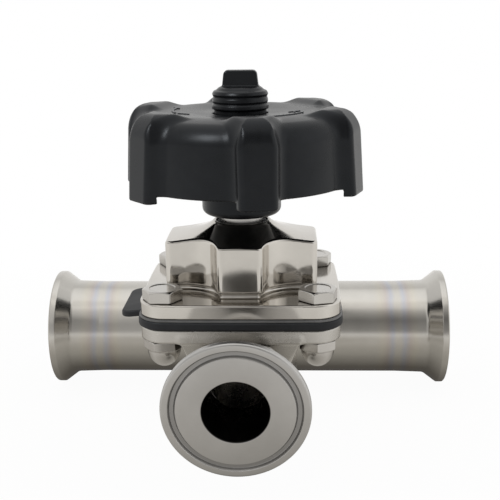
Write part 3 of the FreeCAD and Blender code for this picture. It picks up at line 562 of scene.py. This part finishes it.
def tube_look():
    """Satin tube with fine turning marks and heat tint next to the welds."""
    look = steel("tube_steel", (0.64, 0.62, 0.58), 0.15, 0.23, brush=(2600, 40, 40))
    x = look.math("ABSOLUTE", look.position()["X"])
    base = look.shader.inputs["Base Color"].links[0].from_socket
    near = look.math("SUBTRACT", x, TUBE_END * MM)
    wobble = look.math("MULTIPLY", look.math("SUBTRACT", look.noise(30.0), 0.5), 0.006)
    reach = look.math("ABSOLUTE", look.math("ADD", near, wobble))
    share = look.span(reach, 1.0, 0.0, 0.001, 0.011)
    tint = look.ramp(share, [(0.0, (0.64, 0.62, 0.58)), (0.35, (0.66, 0.60, 0.46)),
                             (0.62, (0.52, 0.44, 0.42)), (0.82, (0.46, 0.49, 0.60)),
                             (1.0, (0.60, 0.58, 0.54))])
    mixed = look.mix(look.math("MULTIPLY", share, 0.65), base, tint)
    look.link(mixed, look.shader.inputs["Base Color"])
    return look.material


TUBE = tube_look()


# ---------------------------------------------------------------- bonnet

def bonnet_field(x, y, z):
    ax, ay = np.abs(x), np.abs(y)
    plate = round_common(flange_outline(x, y, FLANGE_X, FLANGE_Y, FLANGE_CORNER),
                         slab(z, BONNET_BASE, FLANGE_TOP), 0.6)
    plan = round_union(rounded_rect(x, y, 28.5, 12.6, 2.6), rounded_rect(x, y, 8.2, 24.6, 2.0), 13.0)
    radius = hypot(x, y)
    roof = (z - (54.6 + 97.0 / np.maximum(radius, 6.0))) * 0.95
    block = round_common(plan, np.maximum(roof, FLANGE_TOP + 1.9 - z), 0.9)
    block = np.maximum(block, z - NECK_TOP)
    stem = np.maximum(plan + 1.5, slab(z, FLANGE_TOP - 1, FLANGE_TOP + 3))
    stem = round_union(block, stem, 0.7)
    neck = round_common(radius - 10.8, slab(z, 50.0, NECK_TOP), 0.6)
    solid = round_union(round_union(stem, plate, 1.0), neck, 0.8)
    keys = np.maximum(slab(ay, -3.0, 3.0), np.maximum(14.2 - ax, 34.4 - z))
    cavity = np.maximum(np.maximum(radius - 18.0, z - 50.8), -keys)
    hole = np.minimum(cavity, np.maximum(radius - 13.0, slab(z, 49.8, 57.8)))
    hole = np.minimum(hole, np.maximum(radius - 13.7, slab(z, 51.8, 53.0)))
    hole = np.minimum(hole, np.maximum(radius - 9.5, 50.0 - z))
    hole = np.minimum(hole, np.maximum(radius - 9.9, 61.4 - z))
    hole = np.minimum(hole, hypot(ax - BOLT_X, ay - BOLT_Y) - BOLT_HOLE)
    return round_cut(solid, hole, 0.25)


def build_bonnet():
    field_piece("bonnet_shell", bonnet_field, (-38.5, -33.5, 32.8), (38.5, 33.5, 64.6), 0.5,
                POLISHED, "valve", ("bonnet",), (0, AXIS_Y, 0))


# ---------------------------------------------------------------- body

def core_field(x, y, z):
    """Forged core whose section changes from the neck to the run tube; y is measured from the spindle."""
    t = smooth(y, -36.0, -10.0)
    s = smooth(y, 10.0, 48.0)
    wide = 13.2 + (21.0 - 13.2) * t - 1.2 * s
    tall = 13.0 + (17.0 - 13.0) * t + 2.6 * s
    middle = 15.3 - 5.6 * t - 9.0 * s
    ellipse = hypot(x / wide, (z - middle) / tall) - 1
    return ellipse * np.minimum(wide, tall)


def body_field(x, y, z):
    ax, ay = np.abs(x), np.abs(y)
    plate = round_common(flange_outline(x, y, FLANGE_X, FLANGE_Y, FLANGE_CORNER),
                         slab(z, BODY_FLANGE_LOW, BODY_TOP), 0.6)
    drop = np.maximum(BODY_FLANGE_LOW - z, 0)
    taper = rounded_rect(x, y, 24.5 - 0.6 * drop, 31.6 - 0.35 * drop, 3.0)
    taper = round_common(taper * 0.9, slab(z, 8.0, BODY_TOP - 1.0), 2.0)
    scoop = np.maximum(hypot(ax - BOLT_X, ay - BOLT_Y) - 9.4, z - BODY_FLANGE_LOW)
    taper = round_cut(taper, scoop, 1.2)
    solid = round_union(plate, taper, 1.0)
    core = np.maximum(core_field(x, y, z), FRONT_WALL - y)
    core = np.maximum(core, y - 50.0)
    axial_y, axial_z = y + OUTLET_REACH, z - OUTLET_Z
    along = axial_y * math.cos(TILT) + axial_z * math.sin(TILT)
    across = hypot(x, -axial_y * math.sin(TILT) + axial_z * math.cos(TILT))
    neck = round_common(across - 13.2, slab(along, 22.0, 34.0), 0.6)
    flat_top = (z - 24.2 + 0.42 * np.minimum(y + 33.0, 0)) * 0.92
    core = round_common(np.minimum(core, neck), flat_top, 2.5)
    solid = round_union(solid, core, 0.8)
    tube_y = y + AXIS_Y
    tube = hypot(tube_y, z) - RUN_RADIUS
    collar = np.maximum(tube, np.abs(x) - 24.0)
    solid = round_union(solid, np.maximum(collar, core_field(x, y, z) - 3.5), 3.0)
    solid = np.maximum(solid, -tube)
    bowl = (np.sqrt((x / MEMBRANE) ** 2 + (y / 20.0) ** 2 + ((z - BODY_TOP) / 16.0) ** 2) - 1) * 16
    bowl = np.maximum(bowl, 3.0 - ay)
    saddle = np.maximum(hypot(x, z - SPHERE_Z) - SPHERE_R, hypot(x, y) - MEMBRANE)
    port = np.maximum(across - OUTLET_BORE, along - PORT_END)
    inner_z = z - OUTLET_Z + 3.0
    inner_along = axial_y * math.cos(TILT) + inner_z * math.sin(TILT)
    inner = hypot(x, -axial_y * math.sin(TILT) + inner_z * math.cos(TILT))
    inner = np.maximum(inner - 9.4, inner_along - 58.0)
    rear_y = -(tube_y + 15.0)
    rear_along = rear_y * math.cos(PASSAGE_SLOPE) + z * math.sin(PASSAGE_SLOPE)
    rear = hypot(x, -rear_y * math.sin(PASSAGE_SLOPE) + z * math.cos(PASSAGE_SLOPE))
    rear = np.maximum(rear - PASSAGE, np.maximum(rear_along - 38.0, -8 - rear_along))
    hole = round_union(np.minimum(bowl, saddle), np.minimum(inner, rear), 1.5)
    hole = np.minimum(hole, port)
    hole = np.minimum(hole, np.maximum(hypot(ax - BOLT_X, ay - BOLT_Y) - BOLT_HOLE, 20.0 - z))
    return round_cut(solid, hole, 0.4)


def build_body():
    field_piece("body_forging", body_field, (-38.5, -46.5, -27.0), (38.5, 48.5, 30.8), 0.6,
                BODY_STEEL, "valve", ("valve_body",), (0, AXIS_Y, 0))


# ---------------------------------------------------------------- tubes and ferrules

def open_tube(piece):
    """Cut the passage to the valve body through the front wall of the run tube."""
    bpy.ops.mesh.primitive_cylinder_add(vertices=96, radius=PASSAGE * MM, depth=30 * MM)
    cutter = bpy.context.object
    cutter.rotation_euler = (math.pi / 2 - PASSAGE_SLOPE, 0, 0)
    cutter.location = Vector((0, -0.015 - 0.015 * math.cos(PASSAGE_SLOPE),
                              0.015 * math.sin(PASSAGE_SLOPE)))
    cut = piece.modifiers.new("opening", "BOOLEAN")
    cut.object = cutter
    cut.operation = "DIFFERENCE"
    cut.solver = "EXACT"
    bpy.context.view_layer.update()
    made = bpy.data.meshes.new_from_object(
        piece.evaluated_get(bpy.context.evaluated_depsgraph_get()))
    piece.modifiers.clear()
    piece.data = made
    made.set_sharp_from_angle(angle=SHARP)
    bpy.data.objects.remove(cutter)


def build_tubes():
    flare = [(RUN_BORE, RUN_HALF, 0.35), (20.1, RUN_HALF, 0.2), (20.7, RUN_HALF - 1.2, 0.3),
             (22.1, RUN_HALF - 1.2, 0.3), (22.7, RUN_HALF, 0.2), (RIM, RUN_HALF, 0.7),
             (RIM, RUN_HALF - 2.85, 0.7), (RUN_RADIUS + 0.4, RUN_HALF - 8.6, 3.5),
             (RUN_RADIUS, TUBE_END, 0), (RUN_BORE, TUBE_END, 0)]
    for name, side in (("run_ferrule_right", 1), ("run_ferrule_left", -1)):
        lathe(name + "_turned", flare, along_run(side), TUBE, "valve", (name,))
    tube = [(RUN_BORE, TUBE_END, 0), (RUN_RADIUS, TUBE_END, 0),
            (RUN_RADIUS, -TUBE_END, 0), (RUN_BORE, -TUBE_END, 0)]
    piece = lathe("run_tube_drawn", tube, along_run(1), TUBE, "valve",
                  ("run_tube",), 180)
    open_tube(piece)
    face = [(OUTLET_BORE, 0, 0.5), (20.1, 0, 0.3), (20.7, 1.2, 0.35), (22.1, 1.2, 0.35),
            (22.7, 0, 0.3), (RIM, 0, 0.9), (RIM, 2.85, 0.8), (14.0, 7.2, 2.0), (12.7, 9.2, 1.0),
            (12.7, 12.7, 0), (OUTLET_BORE, 12.7, 0)]
    lathe("outlet_ferrule_turned", face, along_outlet(), FACE_STEEL, "valve",
          ("outlet_ferrule",))


# ---------------------------------------------------------------- diaphragm

def rim_field(x, y, z):
    """Clamped rim of the diaphragm with its drooping tab on the left."""
    half_x = float(DIAPHRAGM_HIGH[0])
    half_y = float((DIAPHRAGM_HIGH[1] - DIAPHRAGM_LOW[1]) / 2)
    reach = float(-DIAPHRAGM_LOW[0])
    ax, ay = np.abs(x), np.abs(y)
    plate = round_common(flange_outline(x, y, half_x, half_y, 9.6),
                         slab(z, BODY_TOP, CUSHION_LOW), 0.7)
    droop = 0.10 * np.maximum(-x - half_x, 0)
    tab = rounded_rect(x + reach - 6.0, y + 1.8, 6.0, 14.8, 4.0)
    tab = round_common(tab, slab(z + droop, BODY_TOP + 0.2, BODY_TOP + 2.7), 0.7)
    solid = round_union(plate, tab, 1.0)
    hole = np.minimum(hypot(x, y) - MEMBRANE, hypot(ax - BOLT_X, ay - BOLT_Y) - BOLT_HOLE)
    return round_cut(solid, hole, 0.2)


def cushion_field(x, y, z):
    """Thin sheet between the rim and the bonnet."""
    ax, ay = np.abs(x), np.abs(y)
    plate = round_common(flange_outline(x, y, 37.5, 32.6, FLANGE_CORNER),
                         slab(z, CUSHION_LOW, BONNET_BASE), 0.3)
    hole = np.minimum(hypot(x, y) - MEMBRANE, hypot(ax - BOLT_X, ay - BOLT_Y) - BOLT_HOLE)
    return np.maximum(plate, -hole)


def build_web():
    """Flexing middle of the diaphragm: a spherical skin with a boss for the stud."""
    outer, inner, centre = SPHERE_R, SPHERE_R - 2.5, SPHERE_Z + 0.1
    profile = [(0.01, centre - outer)]
    for k in range(1, 19):
        radius = (MEMBRANE - 0.05) * k / 18
        profile.append((radius, centre - math.sqrt(outer ** 2 - radius ** 2)))
    top = [(radius, centre - math.sqrt(inner ** 2 - radius ** 2)) for radius, _ in profile[4:]]
    top = [(radius, min(height, CUSHION_LOW)) for radius, height in top if radius > 4.2]
    corners = [p + (0,) for p in profile] + [p + (0,) for p in reversed(top)]
    corners += [(4.05, top[0][1] - 0.1, 0), (4.05, 22.25, 0), (0.01, 22.25, 0)]
    web = lathe("diaphragm_flexing", corners, upright(0, AXIS_Y), RUBBER, "valve",
                ("diaphragm_web",), 96)
    web.data.transform(web.matrix_world)
    web.matrix_world = Matrix.Identity(4)
    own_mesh(web)


def build_diaphragm():
    field_piece("diaphragm_rim", rim_field, (-46.6, -34.0, 28.0), (39.0, 34.0, 34.0), (0.5, 0.5, 0.35),
                RUBBER, "valve", ("diaphragm",), (0, AXIS_Y, 0))
    field_piece("backing_sheet", cushion_field, (-38.5, -33.6, 32.6), (38.5, 33.6, 34.3),
                (0.6, 0.6, 0.2), GREY_RUBBER, "valve", ("backing_cushion",), (0, AXIS_Y, 0))
    build_web()


# ---------------------------------------------------------------- handwheel

def wheel_sector(x, y):
    """Radial and tangential place inside one of the six sectors."""
    angle = np.arctan2(y, x) - WHEEL_PHASE
    sixth = math.pi / 3
    folded = angle - sixth * np.round(angle / sixth)
    radius = hypot(x, y)
    return radius * np.cos(folded), np.abs(radius * np.sin(folded)), radius


def wheel_walls(u, v, radius, z, inset):
    """Drum, lobe tip and lobe sides, with draft, moved inwards by an inset."""
    draft = z - WHEEL_SKIRT
    drum = radius - (41.6 - 0.045 * draft - inset)
    tip = u - (46.1 - 0.065 * draft - inset)
    side = (v - (6.5 - inset + 0.22 * (46.0 - u))) * 0.976
    return drum, tip, side


def wheel_dome(radius):
    """Height of the top: a level shoulder with a slightly dished middle."""
    return 104.2 + 1.1 * smooth(radius, 12.0, 28.0)


def wheel_field(x, y, z):
    u, v, radius = wheel_sector(x, y)
    drum, tip, side = wheel_walls(u, v, radius, z, 0.0)
    outer = round_union(drum, round_common(tip, side, 2.2), 2.8)
    on_lobe = smooth(u, 26.5, 34.0) * smooth(side, 1.2, -3.0)
    top = z - wheel_dome(radius) - 1.6 * on_lobe + 0.012 * np.maximum(radius - 26.0, 0) ** 2 * (1 - on_lobe)
    outer = round_common(outer, top, 5.6 + 2.4 * on_lobe)
    below = np.minimum(WHEEL_SKIRT - z, np.maximum(76.4 - z, 42.2 - u))
    outer = round_common(outer, below, 0.9)
    drum_in, tip_in, side_in = wheel_walls(u, v, radius, z, 3.6)
    inner = round_union(drum_in, round_common(tip_in, side_in, 1.0), 1.5)
    inner = round_common(inner, z - 99.5, 3.0)
    ribs = np.maximum(v - 1.2, np.maximum(82.0 - z, radius - 38.0))
    inner = round_cut(inner, ribs, 0.8)
    shell = round_cut(outer, inner, 0.6)
    hub = round_common(radius - 15.0, slab(z, float(WHEEL_LOW[2]), 102.0), 2.6)
    solid = round_union(shell, hub, 1.2)
    bore = np.maximum(radius - 10.4, 85.9 - z)
    bore = np.minimum(bore, np.maximum(radius - 11.0, slab(z, 68.0, 85.9)))
    bore = np.minimum(bore, radius - 8.4)
    return round_cut(solid, bore, 0.3)


def build_handwheel():
    field_piece("handwheel_moulding", wheel_field, (-47.0, -47.0, 65.6), (47.0, 47.0, 108.2), 0.62,
                BLACK, "wheel", ("handwheel",), (0, AXIS_Y, 0))


def arrow_mark(name, start, stop, radius, width, low, high):
    """Raised curved arrow on top of the wheel, between two angles."""
    points, faces = [], []
    steps = 24
    sign = 1 if stop > start else -1
    head = stop - sign * 2.6 * width / radius
    rows = []
    for k in range(steps + 1):
        t = start + (head - start) * k / steps
        rows.append((t, width / 2))
    rows += [(head, width * 1.25), (stop, 0.02)]
    for t, half in rows:
        for r in (radius - half, radius + half):
            surface = float(wheel_dome(r))
            for z in (surface - low, surface + high):
                inset = 0.0 if z < surface else 0.12
                r2 = r + (inset if r < radius else -inset)
                points.append((r2 * math.cos(t), r2 * math.sin(t) + AXIS_Y, z))
    for k in range(len(rows) - 1):
        a, b = 4 * k, 4 * (k + 1)
        faces += [(a + 1, a + 3, b + 3, b + 1), (a, b, b + 2, a + 2),
                  (a, a + 1, b + 1, b), (a + 2, b + 2, b + 3, a + 3)]
    last = 4 * (len(rows) - 1)
    faces += [(0, 2, 3, 1), (last, last + 1, last + 3, last + 2)]
    if sign < 0:
        faces = [f[::-1] for f in faces]
    piece = add_piece(name, points, faces, None, MARK, "wheel")
    piece.data.set_sharp_from_angle(angle=math.radians(30))
    return piece


def bar_mark(name, x, y, half_x, half_y):
    """Raised bar on top of the wheel."""
    def field(px, py, pz):
        top = wheel_dome(hypot(px, py))
        return round_common(rounded_rect(px - x, py - y, half_x, half_y, 0.3),
                            slab(pz, top - 0.4, top + 0.35), 0.15)
    field_piece(name, field, (x - half_x - 1, y - half_y - 1, 102.5), (x + half_x + 1, y + half_y + 1, 106.5),
                0.16, MARK, "wheel", (), (0, AXIS_Y, 0))


def build_marks():
    arrow_mark("wheel_arrow_open", math.radians(-62), math.radians(-22), 25.0, 1.1, 0.4, 0.35)
    arrow_mark("wheel_arrow_shut", math.radians(-158), math.radians(-200), 25.0, 1.1, 0.4, 0.35)
    bar_mark("wheel_plus_bar", 20.0, -4.0, 2.2, 0.45)
    bar_mark("wheel_plus_cross", 20.0, -4.0, 0.45, 2.2)
    bar_mark("wheel_minus_bar", -20.0, -11.0, 2.2, 0.45)


# ---------------------------------------------------------------- cap

def cap_field(x, y, z):
    radius = hypot(x, y)
    skirt = round_common(radius - 9.7, slab(z, 93.5, 108.0), 0.4)
    flare = radius - (10.0 + 0.10 * (112.0 - z))
    collar = round_common(flare, slab(z, 105.7, 112.4), 0.6)
    for height in (107.9, 110.2):
        collar = round_cut(collar, hypot(radius - 10.6, z - height) - 0.55, 0.25)
    base = round_common((radius - 9.3 + (z - 112.3) * 1.1) * 0.67, slab(z, 111.0, 113.9), 0.6)
    solid = round_union(round_union(collar, skirt, 0.4), base, 0.5)
    rise = np.clip((z - 113.6) / 6.0, 0, 1)
    plan = (np.abs(x - 0.15) - (6.75 - 0.70 * rise)) * 0.99
    wing = round_common(plan, slab(z, 108.0, float(CAP_HIGH[2])), 1.5)
    wing = round_common(wing, np.abs(y) - (2.75 - 0.4 * rise), 0.7)
    solid = round_union(solid, wing, 0.9)
    hexed = np.maximum(hexagon(x, y, 12.8, 0.0), z - 104.05)
    bore = np.minimum(hexed, np.maximum(radius - 4.1, z - 109.6))
    bore = np.minimum(bore, np.maximum(radius - 4.6, slab(z, 106.5, 107.5)))
    return np.maximum(solid, -bore)


def build_cap():
    field_piece("indicator_moulding", cap_field, (-11.0, -11.0, 92.8), (11.0, 11.0, 120.6), 0.27,
                BLACK, "cap", ("indicator_cap",), (0, AXIS_Y, 0))


# ---------------------------------------------------------------- fasteners

def bolt_field(turn):
    """Hexagon-head bolt whose head is turned by an angle."""
    top = FLANGE_TOP + BOLT_HEAD

    def field(x, y, z):
        radius = hypot(x, y)
        head = round_common(hexagon(x, y, ACROSS_FLATS, turn), slab(z, FLANGE_TOP + 0.02, top), 0.3)
        head = round_common(head, (radius - 6.55 + (z - top) * 1.6) * 0.53, 0.2)
        lower = (radius - 7.0 - (z - FLANGE_TOP) * 1.6) * 0.53
        head = round_common(head, lower, 0.2)
        dish = np.maximum(radius - 4.6, top - 0.25 - z)
        head = round_cut(head, dish, 0.2)
        shank = round_common(radius - 4.0, slab(z, float(BOLT_LOW[2]), FLANGE_TOP + 1), 0.5)
        return np.minimum(head, shank)

    return field


def nut_field(turn):
    """Domed cap nut turned by an angle."""
    joint = BODY_FLANGE_LOW - NUT_HEX

    def field(x, y, z):
        radius = hypot(x, y)
        hexed = round_common(hexagon(x, y, ACROSS_FLATS, turn), slab(z, joint, BODY_FLANGE_LOW - 0.02), 0.3)
        hexed = round_common(hexed, (radius - 6.7 - (z - joint) * 1.6) * 0.53, 0.25)
        dome = np.sqrt((x / 6.2) ** 2 + (y / 6.2) ** 2 + ((z - joint) / 7.2) ** 2)
        dome = np.maximum((dome - 1) * 6.2, z - joint - 0.5)
        solid = round_union(hexed, dome, 0.35)
        bore = np.maximum(radius - 4.05, 15.9 - z)
        return round_cut(solid, bore, 0.2)

    return field


def build_fasteners():
    kinds = (("flange_bolts", "bolt", bolt_field, (17.0, -2.0), (15.6, 44.5)),
             ("dome_nuts", "nut", nut_field, (28.0, 8.0), (12.8, 25.3)))
    for node, label, make_field, turns, (low, high) in kinds:
        shapes = [polygonise(make_field(math.radians(turn)), (-8.3, -8.3, low), (8.3, 8.3, high), 0.3)
                  for turn in turns]
        stands_for = (node,)
        for index, (sx, sy) in enumerate(((1, 1), (-1, 1), (-1, -1), (1, -1))):
            points, faces, normals = shapes[0 if sx > 0 else 1]
            shift = np.array([sx * BOLT_X, sy * BOLT_Y + AXIS_Y, 0.0])
            add_piece("%s_%d" % (label, index), points + shift, faces, normals, FASTENER,
                      "valve", stands_for)
            stands_for = ()


# ---------------------------------------------------------------- CAD nodes that stay

def dress_cad_nodes():
    looks = {
        "outlet_tube": OUTLET_STEEL, "diaphragm_stud": FASTENER, "compressor": INNER_STEEL,
        "compressor_pin": FASTENER, "neck_bush": BRONZE, "neck_seal": RUBBER,
        "thrust_washers": BRONZE, "retaining_ring": FASTENER, "drive_nut": INNER_STEEL,
        "spindle": FASTENER, "wheel_insert": BRONZE, "wheel_clip": FASTENER,
        "snap_ring": FASTENER, "stop_sleeve": BRONZE,
    }
    for name, material in looks.items():
        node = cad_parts[name]
        node.data.materials.clear()
        node.data.materials.append(material)


# ---------------------------------------------------------------- stage

def grey_ramp(tree, value, stops, tint=(1, 1, 1)):
    """Colour ramp of grey levels over a 0 to 1 value."""
    node = tree.nodes.new("ShaderNodeValToRGB")
    elements = node.color_ramp.elements
    while len(elements) < len(stops):
        elements.new(0.5)
    for element, (place, grey) in zip(elements, stops):
        element.position = place
        element.color = (grey * tint[0], grey * tint[1], grey * tint[2], 1)
    tree.links.new(value, node.inputs["Fac"])
    return node.outputs["Color"]


def build_world():
    """Bright studio behind, at the sides and overhead; a dim room in front, dimmest to the right."""
    world = bpy.data.worlds.new("studio")
    bpy.context.scene.world = world
    world.use_nodes = True
    tree = world.node_tree
    tree.nodes.clear()

    def math_node(kind, a, b):
        node = tree.nodes.new("ShaderNodeMath")
        node.operation = kind
        for socket, item in zip(node.inputs, (a, b)):
            if isinstance(item, (int, float)):
                socket.default_value = item
            else:
                tree.links.new(item, socket)
        return node.outputs[0]

    coords = tree.nodes.new("ShaderNodeTexCoord")
    split = tree.nodes.new("ShaderNodeSeparateXYZ")
    tree.links.new(coords.outputs["Generated"], split.inputs["Vector"])
    x, y, z = split.outputs
    height = math_node("MULTIPLY_ADD", z, 0.5)
    height.node.inputs[2].default_value = 0.5
    bearing = math_node("ARCTAN2", x, math_node("MULTIPLY", y, -1.0))
    turn = math_node("MULTIPLY_ADD", bearing, 0.5 / math.pi)
    turn.node.inputs[2].default_value = 0.5
    studio = grey_ramp(tree, height, [(0.0, 0.45), (0.49, 0.78), (0.55, 0.78), (0.70, 0.80),
                                      (0.80, 0.74), (0.90, 0.68), (0.94, 0.78), (0.975, 0.86),
                                      (1.0, 0.90)], (1, 0.995, 0.985))
    room = grey_ramp(tree, height, [(0.0, 0.35), (0.47, 0.70), (0.50, 0.52), (0.55, 0.27),
                                    (0.62, 0.24), (0.70, 0.20), (0.77, 0.14), (0.82, 0.22),
                                    (0.87, 0.32), (0.92, 0.46), (0.955, 0.85), (1.0, 0.95)],
                     (1, 0.98, 0.95))
    share = grey_ramp(tree, turn, [(0.20, 0.0), (0.33, 0.60), (0.465, 0.65), (0.51, 1.0),
                                   (0.60, 1.0), (0.70, 0.0)])
    blend = tree.nodes.new("ShaderNodeMix")
    blend.data_type = "RGBA"
    colours = [s for s in blend.inputs if s.type == "RGBA"]
    tree.links.new(share, blend.inputs["Factor"])
    tree.links.new(studio, colours[0])
    tree.links.new(room, colours[1])
    seen = tree.nodes.new("ShaderNodeBackground")
    seen.inputs["Color"].default_value = (1, 1, 1, 1)
    seen.inputs["Strength"].default_value = 1.0
    glow = tree.nodes.new("ShaderNodeBackground")
    glow.inputs["Strength"].default_value = 1.12
    tree.links.new([s for s in blend.outputs if s.type == "RGBA"][0], glow.inputs["Color"])
    path = tree.nodes.new("ShaderNodeLightPath")
    mix = tree.nodes.new("ShaderNodeMixShader")
    out = tree.nodes.new("ShaderNodeOutputWorld")
    tree.links.new(path.outputs["Is Camera Ray"], mix.inputs["Fac"])
    tree.links.new(glow.outputs[0], mix.inputs[1])
    tree.links.new(seen.outputs[0], mix.inputs[2])
    tree.links.new(mix.outputs[0], out.inputs["Surface"])


def add_light(name, place, target, size, power, colour=(1, 1, 1)):
    data = bpy.data.lights.new(name, "AREA")
    data.shape = "RECTANGLE"
    data.size, data.size_y = size
    data.energy = power
    data.color = colour
    lamp = bpy.data.objects.new(name, data)
    lamp.location = place
    aim = Vector(target) - Vector(place)
    lamp.rotation_mode = "QUATERNION"
    lamp.rotation_quaternion = aim.to_track_quat("-Z", "Y")
    bpy.context.scene.collection.objects.link(lamp)
    return lamp


def light_only(lamp, pieces):
    """Let a lamp reach only some pieces."""
    group = bpy.data.collections.new(lamp.name + "_receivers")
    for piece in pieces:
        group.objects.link(piece)
    lamp.light_linking.receiver_collection = group


def distance_of(look, a, b):
    """Length of a vector given by two values."""
    return look.math("SQRT", look.math("ADD", look.math("MULTIPLY", a, a), look.math("MULTIPLY", b, b)))


def floor_look():
    """Pale paper: shadows near the object, plain white further out. Reflections see a warm grey glow instead,
    with a painted shadow under the run tube and outlet and painted dimming far in front.
    """
    look = Look("floor_paper")
    look.shader.inputs["Roughness"].default_value = 0.8
    look.shader.inputs["Specular IOR Level"].default_value = 0.1
    paper = look.noise(220.0, 5.0)
    look.link(look.mix(look.span(paper, 0.0, 1.0), (0.93, 0.93, 0.925), (0.97, 0.97, 0.965)),
              look.shader.inputs["Base Color"])
    look.link(look.bump(paper, 0.1, 0.00005), look.shader.inputs["Normal"])
    length = look.tree.nodes.new("ShaderNodeVectorMath")
    length.operation = "LENGTH"
    look.link(look.coords, length.inputs[0])
    far = look.tree.nodes.new("ShaderNodeEmission")
    far.inputs["Color"].default_value = (1, 1, 1, 1)
    near_far = look.tree.nodes.new("ShaderNodeMixShader")
    look.link(look.span(length.outputs["Value"], 0.96, 1.0, 0.13, 0.26), near_far.inputs["Fac"])
    look.link(look.shader.outputs[0], near_far.inputs[1])
    look.link(far.outputs[0], near_far.inputs[2])
    # Painted light: an emission stands in for the lit floor in reflections, with a painted shadow round the
    # run tube and outlet ferrule.
    painted_bounce = look.tree.nodes.new("ShaderNodeEmission")
    x, y, _ = look.position()
    run_shadow = 0.078
    beyond = look.math("MAXIMUM", look.math("SUBTRACT", look.math("ABSOLUTE", x), run_shadow), 0.0)
    under_run = distance_of(look, beyond, y)
    under_outlet = distance_of(look, x, look.math("ADD", y, 0.112))
    reach = look.math("MINIMUM", under_run, look.math("ADD", under_outlet, 0.012))
    glow = look.ramp(reach, [
        (0.0, (0.085, 0.08, 0.075)), (0.012, (0.12, 0.112, 0.10)), (0.033, (0.38, 0.365, 0.335)),
        (0.06, (0.50, 0.48, 0.445)), (0.10, (0.62, 0.60, 0.57)), (0.20, (0.84, 0.83, 0.805)),
        (0.5, (0.98, 0.97, 0.95))])
    # Painted shade: the reflected glow dimmed far in front of the valve.
    front = look.span(y, 0.85, 1.0, -0.42, -0.20)
    look.link(look.mix(front, (0.0, 0.0, 0.0), glow), painted_bounce.inputs["Color"])
    path = look.tree.nodes.new("ShaderNodeLightPath")
    final = look.tree.nodes.new("ShaderNodeMixShader")
    look.link(path.outputs["Is Camera Ray"], final.inputs["Fac"])
    look.link(painted_bounce.outputs[0], final.inputs[1])
    look.link(near_far.outputs[0], final.inputs[2])
    geometry = look.tree.nodes.new("ShaderNodeNewGeometry")
    clear = look.tree.nodes.new("ShaderNodeBsdfTransparent")
    one_sided = look.tree.nodes.new("ShaderNodeMixShader")
    look.link(geometry.outputs["Backfacing"], one_sided.inputs["Fac"])
    look.link(final.outputs[0], one_sided.inputs[1])
    look.link(clear.outputs[0], one_sided.inputs[2])
    output = look.tree.nodes["Material Output"]
    look.link(one_sided.outputs[0], output.inputs["Surface"])
    return look


def build_stage():
    floor_z = cad_low.z - 0.0004
    mesh = bpy.data.meshes.new("studio_floor")
    size = 3.0
    mesh.from_pydata([(-size, -size, floor_z), (size, -size, floor_z),
                      (size, size, floor_z), (-size, size, floor_z)], [], [(0, 1, 2, 3)])
    look = floor_look()
    mesh.materials.append(look.material)
    floor = bpy.data.objects.new("studio_floor", mesh)
    bpy.context.scene.collection.objects.link(floor)
    front_left, low_middle = (-0.55, -0.75, 0.95), (0, -0.05, 0.03)
    gloss = add_light("gloss_light", front_left, low_middle, (0.45, 0.45), 5.0)
    light_only(gloss, [piece for piece in bpy.data.objects
                       if piece.type == "MESH" and piece.data.materials
                       and piece.data.materials[0] in (BLACK, MARK, RUBBER)])
    add_light("key_light", front_left, low_middle, (1.0, 1.0), 0.7, (1, 0.985, 0.96))
    add_light("fill_light", (0.85, -0.55, 0.55), (0, -0.05, 0.04), (0.8, 0.9), 0.3)
    add_light("top_light", (0.05, 0.25, 1.1), (0, -0.05, 0.05), (1.1, 0.9), 0.5)


def build_camera():
    azimuth, elevation, roll = math.radians(2.27), math.radians(14.99), math.radians(-0.724)
    forward = Vector((-math.sin(azimuth) * math.cos(elevation),
                      math.cos(azimuth) * math.cos(elevation), -math.sin(elevation)))
    right = Vector((math.cos(azimuth), math.sin(azimuth), 0))
    up = right.cross(forward)
    turned_right = right * math.cos(roll) + up * math.sin(roll)
    turned_up = up * math.cos(roll) - right * math.sin(roll)
    data = bpy.data.cameras.new("photo_camera")
    data.sensor_width = 36.0
    data.lens = 66.6
    data.clip_start = 0.02
    camera = bpy.data.objects.new("photo_camera", data)
    matrix = Matrix((turned_right, turned_up, -forward)).transposed().to_4x4()
    matrix.translation = Vector((0.01658, -0.34451 + AXIS_Y * MM, 0.14368))
    camera.matrix_world = matrix
    bpy.context.scene.collection.objects.link(camera)
    bpy.context.scene.camera = camera
    bpy.context.scene.view_settings.view_transform = "Standard"


build_bonnet()
build_body()
build_tubes()
build_diaphragm()
build_handwheel()
build_marks()
build_cap()
build_fasteners()
dress_cad_nodes()
build_world()
build_stage()
build_camera()
